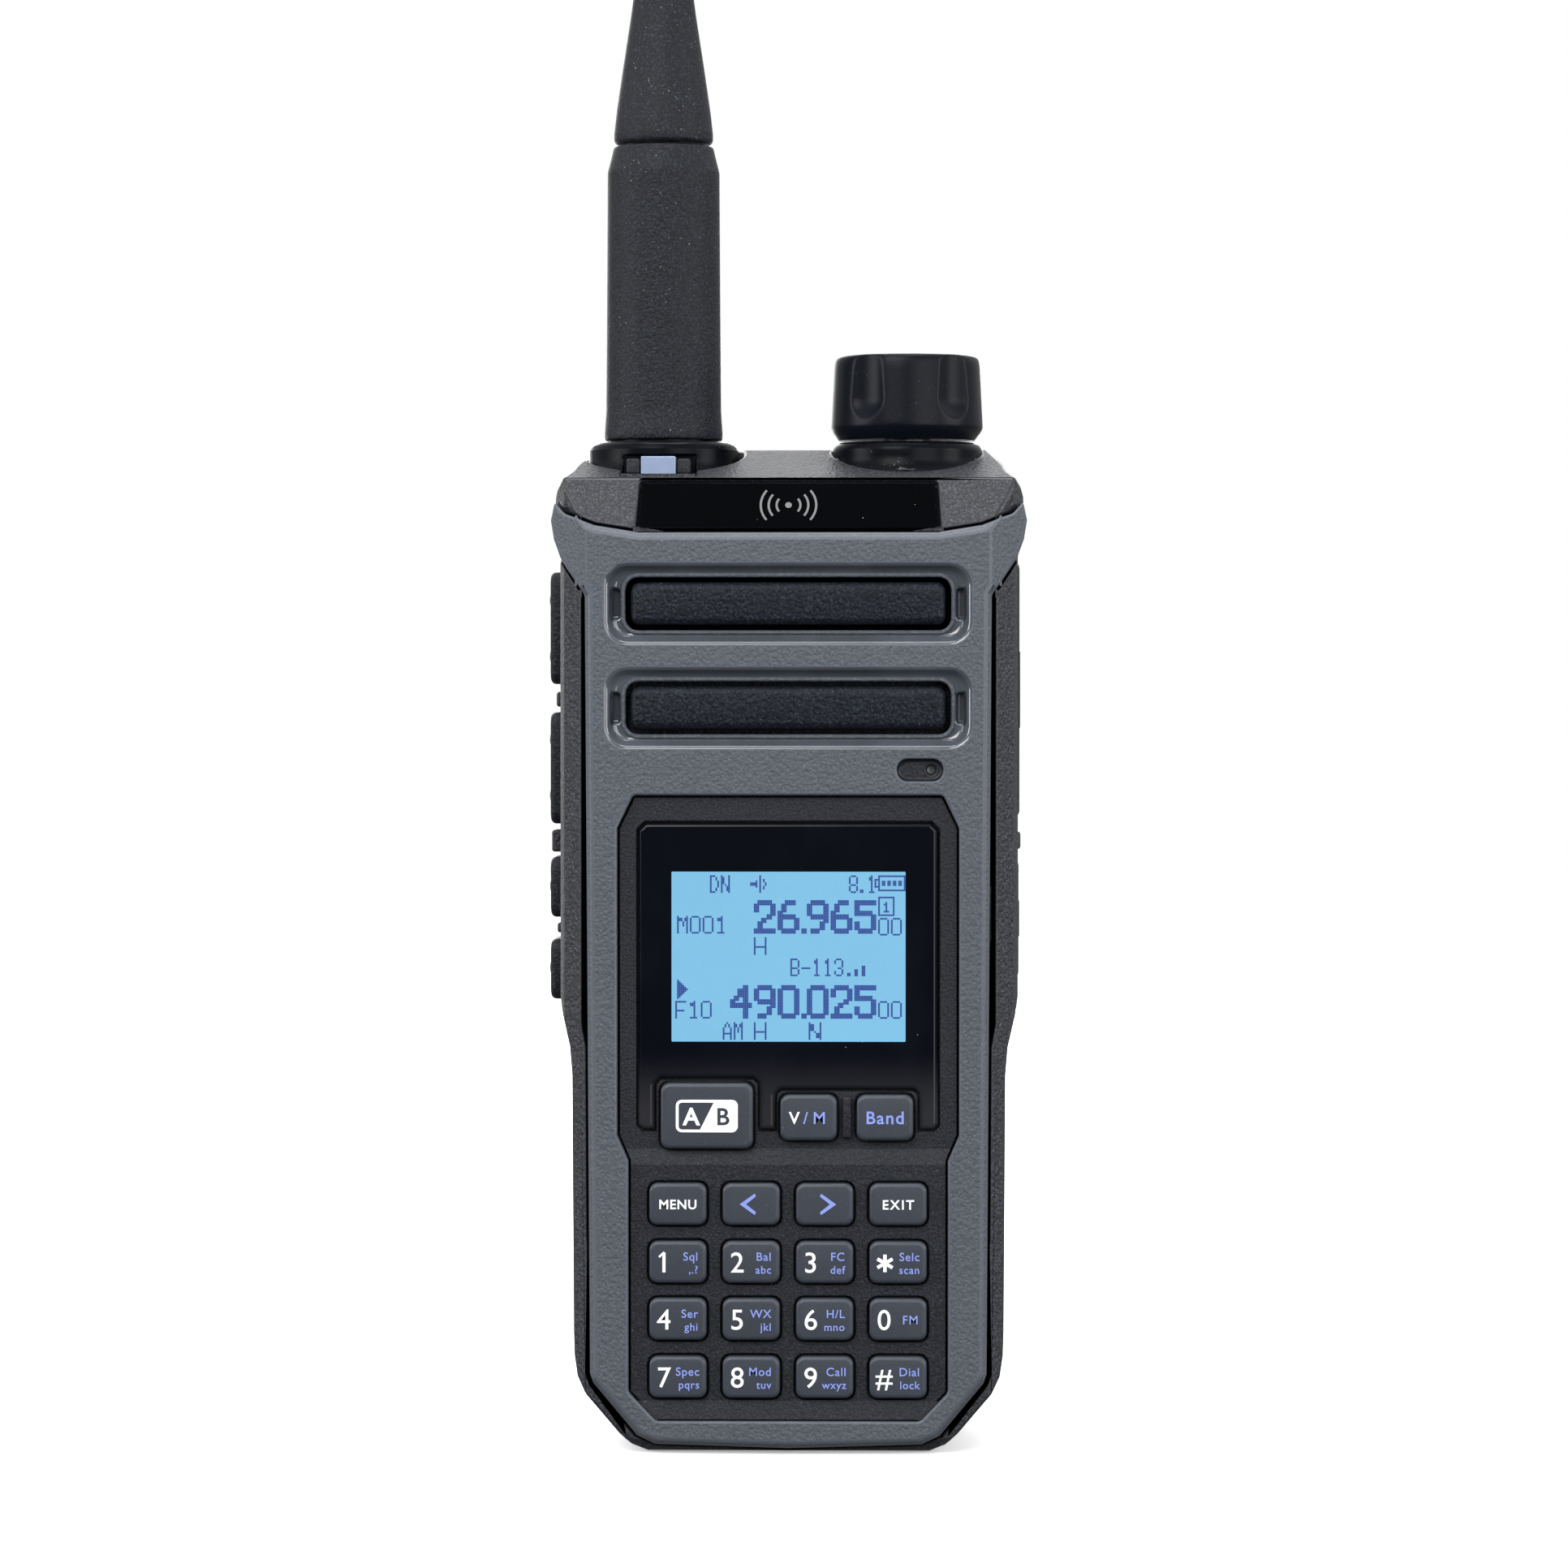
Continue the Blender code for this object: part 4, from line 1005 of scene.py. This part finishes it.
class RADIO_OT_name_plate(Operator):
    """Glossy plate on the shoulder with a plain glyph of spreading waves"""

    bl_idname = "radio.name_plate"
    bl_label = "Name plate"

    def execute(self, context):
        plate = refined("name_plate", 0.18)
        plate.data.materials[0] = paint("plate_black")
        low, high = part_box("name_plate")
        lean = math.atan2(3.6, 6.5)    # the shoulder's slope: 3.6 back over 6.5 up
        bm = bmesh.new()
        self.ring(bm, 0.0, 0.42, 0, 360)
        for radius in (1.5, 2.5, 3.5):
            for side in (0, 180):
                self.ring(bm, radius - 0.14, radius + 0.14, side - 38, side + 38)
        outward = Vector((0, -math.cos(lean), math.sin(lean)))
        middle = (low + high) / 2 + outward * 0.475 * MM
        laid = Matrix.Rotation(-lean, 4, "X")
        bmesh.ops.transform(bm, matrix=Matrix.Translation(middle) @ laid, verts=bm.verts)
        glyph = from_bmesh("plate_glyph", bm)
        glyph.data.materials.append(paint("grey_ink"))
        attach(glyph, CASE)
        return {"FINISHED"}

    def ring(self, bm, inner, outer, start, end):
        """A flat arc of the glyph, 0.05 thick, that faces -Y."""
        steps = 20
        rings = []
        for step in range(steps + 1):
            angle = math.radians(start + (end - start) * step / steps)
            u, v = math.cos(angle), math.sin(angle)
            corners = [(inner, 0), (outer, 0), (outer, -0.05), (inner, -0.05)]
            rings.append([(radius * u, depth, radius * v) for radius, depth in corners])
        if inner == 0.0:
            turns = [2 * math.pi * i / 24 for i in range(24)]
            outline = [(outer * math.cos(turn), outer * math.sin(turn)) for turn in turns]
            rings = [facing("Y", outline, 0), facing("Y", outline, -0.05)]
        lofted(bm, rings)


class RADIO_OT_antenna(Operator):
    """Antenna sleeve, washer, tapering whip and collar, and the status light"""

    bl_idname = "radio.antenna"
    bl_label = "Antenna"

    def execute(self, context):
        steps = context.scene.radio_turned.steps
        low, high = (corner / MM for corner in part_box("antenna_sleeve"))
        centre = ((low.x + high.x) / 2, (low.y + high.y) / 2)
        foot, top = low.z, high.z
        sleeve = [(0, top), (6.4, top), (6.6, top - 0.9), (7.2, top - 3.3), (7.3, 145), (7.4, 132),
                  (7.6, foot + 0.9), (7.55, foot), (5.65, foot), (5.65, 137.0), (0, 137.0)]
        self.part("antenna_sleeve", softened(sleeve, 0.35), centre, steps, "soft_rubber")
        ring = [(6.0, foot - 0.03), (7.0, foot - 0.03), (7.0, foot - 0.27), (6.0, foot - 0.27)]
        washer = turned("antenna_washer", ring, centre, steps, closed=True)
        settle(washer, "seat_black", BODY_OF["antenna_sleeve"])
        low, high = (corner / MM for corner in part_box("antenna_whip"))
        foot, top = low.z, high.z
        whip = [(0, top), (0.8, top - 0.1), (1.6, top - 0.7), (2.15, top - 1.8), (2.35, top - 4), (2.45, 240),
                (2.6, 210), (2.85, 198), (3.3, 190.5), (4.0, 184), (5.1, 177), (6.05, 170.5), (6.38, 167.5),
                (6.35, foot + 0.4), (6.05, foot), (0, foot)]
        self.part("antenna_whip", softened(whip, 3.0, 6), centre, steps, "soft_rubber")
        seat = refined("antenna_collar", 0.2)
        seat.data.materials.clear()
        seat.data.materials.append(paint("seat_black"))
        refined("status_led_window", 0.15)
        self.tabs()
        return {"FINISHED"}

    def part(self, node, profile, centre, steps, slot):
        piece = turned(f"{node}_finished", profile, centre, steps)
        settle(piece, slot, BODY_OF[node], [node])

    def tabs(self):
        """Two dark blocks that hold the light guide."""
        low, high = (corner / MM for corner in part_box("status_led_window"))
        bm = bmesh.new()
        for side, edge in ((-1, low.x), (1, high.x)):
            rect = (edge + side * 1.0, (low.z + high.z) / 2 - 0.1, 1.7, 1.9)
            pad(bm, "Y", rect, high.y, low.y + 0.3, 0.3, 0.2, 4)
        made = from_bmesh("light_tabs", bm)
        settle(made, "panel_black", CASE)


class RADIO_OT_knob(Operator):
    """Fluted volume knob on its seat"""

    bl_idname = "radio.knob"
    bl_label = "Volume knob"

    def execute(self, context):
        turned_settings = context.scene.radio_turned
        low, high = (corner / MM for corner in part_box("volume_knob"))
        shaft = [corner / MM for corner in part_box("knob_shaft")]
        centre = ((shaft[0].x + shaft[1].x) / 2, (shaft[0].y + shaft[1].y) / 2)
        self.knob(centre, low.z, high.z, turned_settings.flutes)
        top = low.z - 0.3
        seat = [(3.4, top), (8.7, top), (9.35, top - 0.25), (9.72, top - 0.9), (9.72, top - 2.2),
                (9.9, top - 3.0), (10.25, top - 3.7), (10.6, top - 4.2), (3.4, top - 4.2)]
        piece = turned("knob_seat", softened(seat, 0.4, 4), centre, turned_settings.steps, closed=True)
        settle(piece, "seat_black", CASE)
        return {"FINISHED"}

    def knob(self, centre, foot, top, flutes):
        """Rings whose radius dips where a scoop's round side passes, and a shallow dish in the top."""
        outer = [(8.75, foot), (9.0, foot + 0.35), (9.55, foot + 1.05), (9.8, foot + 1.6), (9.8, foot + 2.1),
                 (9.42, top - 1.5), (9.35, top - 0.8), (9.2, top - 0.3), (8.9, top - 0.05), (8.5, top)]
        outer = softened(outer, 0.5, 3)
        heights = []
        for near, far in zip(outer, outer[1:]):
            pieces = max(1, int((far - near).length / 0.28))
            heights += [near.lerp(far, i / pieces) for i in range(pieces)]
        heights.append(outer[-1])
        steps = 300
        bm = bmesh.new()
        rings = []
        for radius, z in heights:
            ring = []
            for i in range(steps):
                angle = 2 * math.pi * i / steps
                reach = self.scooped(angle, radius, z, foot, flutes)
                at = (centre[0] + reach * math.cos(angle), centre[1] + reach * math.sin(angle), z)
                ring.append(bm.verts.new(Vector(at) * MM))
            rings.append(ring)
        rim = rings[-1]
        for inset, depth in ((0.86, 0.0), (0.83, 0.05), (0.80, 0.35), (0.76, 0.45)):
            axis = Vector((*centre, top - depth)) * MM
            dish = []
            for vert in rim:
                at = axis.lerp(vert.co, inset)
                at.z = axis.z
                dish.append(bm.verts.new(at))
            rings.append(dish)
        for near, far in zip(rings, rings[1:]):
            for i in range(steps):
                after = (i + 1) % steps
                bm.faces.new((near[i], near[after], far[after], far[i]))
        bm.faces.new(rings[-1])
        bm.faces.new(rings[0])
        piece = from_bmesh("volume_knob_finished", bm, 50)
        settle(piece, "knob_black", BODY_OF["volume_knob"], ["volume_knob"])

    def scooped(self, angle, radius, z, foot, flutes):
        """The knob's radius at an angle and a height, with the scoops taken off."""
        far, round_side, low = 15.0, 6.2, foot + 5.3
        first = math.radians(-122)
        pitch = 2 * math.pi / flutes
        off = (angle - first + pitch / 2) % pitch - pitch / 2
        side = round_side
        if z < low:
            drop = low - z
            side = math.sqrt(max(0.0, round_side**2 - drop**2 * 1.6))
        reach = far * abs(math.sin(off))
        if reach >= side:
            return radius
        inner = far * math.cos(off) - math.sqrt(side**2 - reach**2)
        ease = 0.22
        gap = radius - inner
        if gap < -ease:
            return radius
        if gap > ease:
            return inner
        return radius - (gap + ease) ** 2 / (4 * ease)


class RADIO_OT_side_controls(Operator):
    """Push-to-talk buttons and side keys with their raised dots"""

    bl_idname = "radio.side_controls"
    bl_label = "Side buttons"

    def execute(self, context):
        for node in ("ptt_button_upper", "ptt_button_lower", "side_key_upper", "side_key_lower"):
            low, high = (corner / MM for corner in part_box(node))
            flange, step_x = 1.6, high.x - 0.8
            y, z = (low.y + high.y) / 2, (low.z + high.z) / 2
            depth, tall = high.y - low.y - flange, high.z - low.z - flange
            rect = (y, z, depth, tall)
            bm = bmesh.new()
            wide = rounded(y, z, depth + flange, tall + flange, 2.2)
            body = rounded(*rect, 1.5)
            rings = [facing("X", wide, high.x), facing("X", wide, step_x), facing("X", body, step_x)]
            front = low.x + 0.4
            for step in range(6):
                turn = math.pi / 2 * step / 5
                inset = 0.7 * (1 - math.cos(turn))
                outline = rounded(y, z, depth - 2 * inset, tall - 2 * inset, 1.5 - 0.6 * inset)
                rings.append(facing("X", outline, front + 0.7 * (1 - math.sin(turn))))
            lofted(bm, rings)
            self.dots(bm, rect, front)
            settle(from_bmesh(f"{node}_finished", bm, 40), "soft_rubber", BODY_OF[node], [node])
        return {"FINISHED"}

    def dots(self, bm, rect, front):
        """Low domes that a thumb finds: two on a long button, one on a short one."""
        offsets = (-3.6, 3.6) if rect[3] > 10 else (0.0,)
        for offset in offsets:
            rings = []
            for step in range(6):
                turn = math.pi / 2 * step / 5.5
                radius = 1.25 * math.cos(turn)
                ring = [(rect[0] + radius * math.cos(a), rect[1] + offset + radius * math.sin(a))
                        for a in (2 * math.pi * i / 20 for i in range(20))]
                rings.append(facing("X", ring, front + 0.15 - 0.54 * math.sin(turn)))
            lofted(bm, rings)


class RADIO_OT_covers(Operator):
    """Rubber covers over the sockets, with finger lips and grip lines"""

    bl_idname = "radio.covers"
    bl_label = "Socket covers"

    def execute(self, context):
        for node in ("accessory_cover", "port_cover"):
            refined(node, 0.3)
            low, high = (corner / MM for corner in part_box(node))
            bm = bmesh.new()
            pad(bm, "X", (0, 0, 0.5, (high.z - low.z) * 0.30), 0.0, 0.13, 0.2, 0.1, 3)
            shape = from_bmesh("grip_line", bm)
            first = low.y + 2.0
            points = [(high.x - 0.02, first + 1.1 * i, (low.z + high.z) / 2) for i in range(4)]
            lines = repeated(f"{node}_grip_lines", points, shape, paint("soft_rubber"))
            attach(lines, BODY_OF[node])
        return {"FINISHED"}


class RADIO_OT_battery(Operator):
    """Battery case with back ribs and charging contacts, its latch and the contact leaves"""

    bl_idname = "radio.battery"
    bl_label = "Battery pack"

    def execute(self, context):
        refined("battery_case", 0.4)
        refined("battery_latch", 0.2)
        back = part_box("battery_case")[1].y / MM
        self.ribs(back)
        self.latch_ridges()
        self.contacts(back)
        return {"FINISHED"}

    def ribs(self, back):
        """Shallow bars across the lower back, either side of the clip."""
        bm = bmesh.new()
        pad(bm, "Y", (0, 0, 11.5, 0.9), -0.1, 0.28, 0.44, 0.2, 4)
        shape = from_bmesh("rib", bm)
        points = [(side * 17.0, back, 22.0 + 2.6 * i) for side in (-1, 1) for i in range(22)]
        made = repeated("battery_ribs", points, shape, paint("dark_shell"))
        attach(made, PACK)

    def latch_ridges(self):
        low, high = (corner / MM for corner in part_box("battery_latch"))
        bm = bmesh.new()
        pad(bm, "Y", (0, 0, 12.0, 0.55), -0.1, 0.25, 0.25, 0.18, 3)
        shape = from_bmesh("ridge", bm)
        middle = (low.z + high.z) / 2
        points = [(0, high.y, middle + 1.2 * (i - 2)) for i in range(5)]
        made = repeated("latch_ridges", points, shape, paint("dark_shell"))
        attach(made, "latch")

    def contacts(self, back):
        """Gold pads of the charging contacts low on the back, and spring leaves in the housing's slot."""
        bm = bmesh.new()
        for x in (-17.5, -13.5, 13.5, 17.5):
            pad(bm, "Y", (x, 9.8, 2.4, 4.4), back - 0.3, back + 0.06, 0.6, 0.05, 4)
        settle(from_bmesh("charging_contacts", bm), "gold_plate", PACK)
        bm = bmesh.new()
        for x in (-5.4, -1.8, 1.8, 5.4):
            pad(bm, "Y", (x, 24.0, 1.6, 3.2), 7.0, 9.1, 0.3, 0.5, 3)
        settle(from_bmesh("contact_leaves", bm), "gold_plate", CASE)


class RADIO_OT_clip(Operator):
    """Belt clip, its bracket and the ribs of its thumb rest"""

    bl_idname = "radio.clip"
    bl_label = "Belt clip"

    def execute(self, context):
        refined("belt_clip", 0.35)
        refined("clip_bracket", 0.25)
        bm = bmesh.new()
        pad(bm, "Y", (0, 0, 11.0, 0.7), -0.15, 0.22, 0.3, 0.2, 3)
        shape = from_bmesh("rest_rib", bm)
        points = [(0, 24.6, 80.0 + 1.6 * i) for i in range(5)]
        made = repeated("clip_ribs", points, shape, paint("dark_shell"))
        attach(made, "clip")
        return {"FINISHED"}


class RADIO_OT_screws(Operator):
    """Six-lobe screws of the clip's bracket and of the housing's back"""

    bl_idname = "radio.screws"
    bl_label = "Screws"

    def execute(self, context):
        bracket = [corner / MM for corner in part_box("clip_bracket")]
        plate = bracket[0].y + 1.4
        levels = (bracket[0].z + 1.6, bracket[1].z - 1.6)
        points = [(side * 6.4, plate, z) for side in (-1, 1) for z in levels]
        made = repeated("bracket_screws", points, self.head(1.15), paint("tin_plate"))
        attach(made, PACK)
        housing_back = 9.0
        points = [(side * 21.5, housing_back, z) for side in (-1, 1) for z in (12.0, 92.0)]
        made = repeated("housing_screws", points, self.head(1.5, 0.22), paint("tin_plate"))
        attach(made, CASE)
        return {"FINISHED"}

    def head(self, radius, height=0.5):
        """A low head that faces +Y, with a six-lobe recess."""
        bm = bmesh.new()
        steps = 36
        turns = [2 * math.pi * i / steps for i in range(steps)]
        rings = []
        for share, y in ((1.0, -0.1), (1.0, height * 0.6), (0.9, height * 0.9), (0.62, height)):
            rings.append([(radius * share * math.cos(a), y, radius * share * math.sin(a)) for a in turns])
        for y in (height, height - 0.3):
            lobes = [(radius * 0.42 * (1 + 0.2 * math.cos(6 * a)), a) for a in turns]
            rings.append([(reach * math.cos(a), y, reach * math.sin(a)) for reach, a in lobes])
        lofted(bm, rings)
        return from_bmesh("screw_head", bm, 40)


class RADIO_OT_inside(Operator):
    """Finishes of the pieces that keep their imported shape"""

    bl_idname = "radio.inside"
    bl_label = "Inner parts"

    def execute(self, context):
        for node, piece in frame["nodes"].items():
            piece.data.materials.clear()
            piece.data.materials.append(paint(SLOT_OF[node]))
        return {"FINISHED"}


class RADIO_OT_stage(Operator):
    """Pale floor, soft studio light and the camera"""

    bl_idname = "radio.stage"
    bl_label = "Stage"

    def execute(self, context):
        self.floor()
        self.world(context.scene)
        self.lamps(context.scene)
        self.camera(context.scene)
        context.scene.view_settings.view_transform = "Standard"
        return {"FINISHED"}

    def floor(self):
        bm = bmesh.new()
        bmesh.ops.create_circle(bm, cap_ends=True, segments=96, radius=2.2)
        floor = from_bmesh("floor", bm)
        floor.location.z = -0.2 * MM
        f = Finish("studio_floor")
        speckle = f.noise(30.0, 2.0)
        tone = f.mix(speckle, shade((0.86, 0.86, 0.86)), shade((0.90, 0.90, 0.90)))
        lamp = {"Emission Color": shade((1, 1, 1)), "Emission Strength": 0.35}
        finish = f.surface(None, 0, lamp, Base_Color=tone, Roughness=0.7 + speckle * 0.1)
        floor.data.materials.append(finish)
        floor.visible_glossy = False
        floor.visible_diffuse = False

    def world(self, scene):
        """White to the eye; as a light, bright from above and the sides and dim from in front and below."""
        world = bpy.data.worlds.new("studio")
        scene.world = world
        t = Tree(world)
        direction = t.node("ShaderNodeTexCoord", output="Generated")
        y = t.node("ShaderNodeSeparateXYZ", None, {0: direction}, output=1)
        z = t.node("ShaderNodeSeparateXYZ", None, {0: direction}, output=2)
        height = z.above(-0.15, 0.7)
        away = y.above(-0.9, 0.9)
        strength = 0.05 + height * 0.55 + away * height * 0.35 + away * 0.25
        seen = t.node("ShaderNodeLightPath", output="Is Camera Ray")
        strength = strength * (1 - seen) + seen
        light = t.node("ShaderNodeBackground", None, {"Color": (1, 1, 1, 1), "Strength": strength})
        t.node("ShaderNodeOutputWorld", None, {"Surface": light})

    def lamps(self, scene):
        for name, at, aim, size, power in (
            ("key", (-0.30, -0.80, 0.60), (0, 0, 0.08), 0.55, 7.0),
            ("fill", (0.45, -0.8, 0.25), (0, 0, 0.08), 0.6, 4.0),
            ("top", (0.0, 0.0, 0.95), (0, 0, 0.1), 0.5, 5.0),
            ("left", (-0.8, -0.25, 0.25), (0, 0, 0.1), 0.4, 3.0),
            ("right", (0.8, -0.25, 0.25), (0, 0, 0.1), 0.4, 2.5),
            ("back", (-0.12, 0.90, 0.26), (0, 0, 0.1), 0.6, 6.0),
        ):
            lamp = bpy.data.lights.new(name, "AREA")
            lamp.energy = power
            lamp.size = size
            holder = bpy.data.objects.new(name, lamp)
            scene.collection.objects.link(holder)
            holder.location = at
            holder.rotation_mode = "QUATERNION"
            holder.rotation_quaternion = (Vector(aim) - Vector(at)).to_track_quat("-Z", "Y")

    def camera(self, scene):
        stage = scene.radio_stage
        lens = bpy.data.cameras.new("camera")
        lens.lens = stage.lens
        lens.sensor_width = 36
        camera = bpy.data.objects.new("camera", lens)
        scene.collection.objects.link(camera)
        target = Vector((-0.5, -18.0, 84.35)) * MM
        turn, lift = stage.azimuth, stage.elevation
        back = Vector((math.sin(turn) * math.cos(lift), -math.cos(turn) * math.cos(lift), math.sin(lift)))
        camera.location = target + back * (stage.width * stage.lens / lens.sensor_width)
        camera.rotation_mode = "QUATERNION"
        camera.rotation_quaternion = (-back).to_track_quat("-Z", "Y")
        scene.camera = camera


class RADIO_PT_panel(Panel):
    """The radio's settings and the steps that build it"""

    bl_idname = "RADIO_PT_panel"
    bl_label = "Handheld radio"
    bl_space_type = "VIEW_3D"
    bl_region_type = "UI"
    bl_category = "Radio"

    def draw(self, context):
        for group in GROUPS:
            settings = getattr(context.scene, group)
            for name in settings.bl_rna.properties.keys():
                if name not in ("rna_type", "name"):
                    self.layout.prop(settings, name)
        for step in STEPS:
            self.layout.operator(step.bl_idname)


GROUPS = {
    "radio_shell": RadioShellSettings,
    "radio_keys": RadioKeySettings,
    "radio_display": RadioDisplaySettings,
    "radio_turned": RadioTurnedSettings,
    "radio_stage": RadioStageSettings,
}
STEPS = (
    RADIO_OT_inside,
    RADIO_OT_casing,
    RADIO_OT_speaker,
    RADIO_OT_keys,
    RADIO_OT_display,
    RADIO_OT_name_plate,
    RADIO_OT_antenna,
    RADIO_OT_knob,
    RADIO_OT_side_controls,
    RADIO_OT_covers,
    RADIO_OT_battery,
    RADIO_OT_clip,
    RADIO_OT_screws,
    RADIO_OT_stage,
)


def register():
    for kind in (*GROUPS.values(), *STEPS, RADIO_PT_panel):
        bpy.utils.register_class(kind)
    for name, kind in GROUPS.items():
        setattr(bpy.types.Scene, name, PointerProperty(type=kind))


def unregister():
    for name in GROUPS:
        delattr(bpy.types.Scene, name)
    for kind in (RADIO_PT_panel, *reversed(STEPS), *reversed(GROUPS.values())):
        bpy.utils.unregister_class(kind)


def main():
    register()
    for step in STEPS:
        family, name = step.bl_idname.split(".")
        getattr(getattr(bpy.ops, family), name)()
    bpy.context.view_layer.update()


if __name__ == "__main__":
    main()
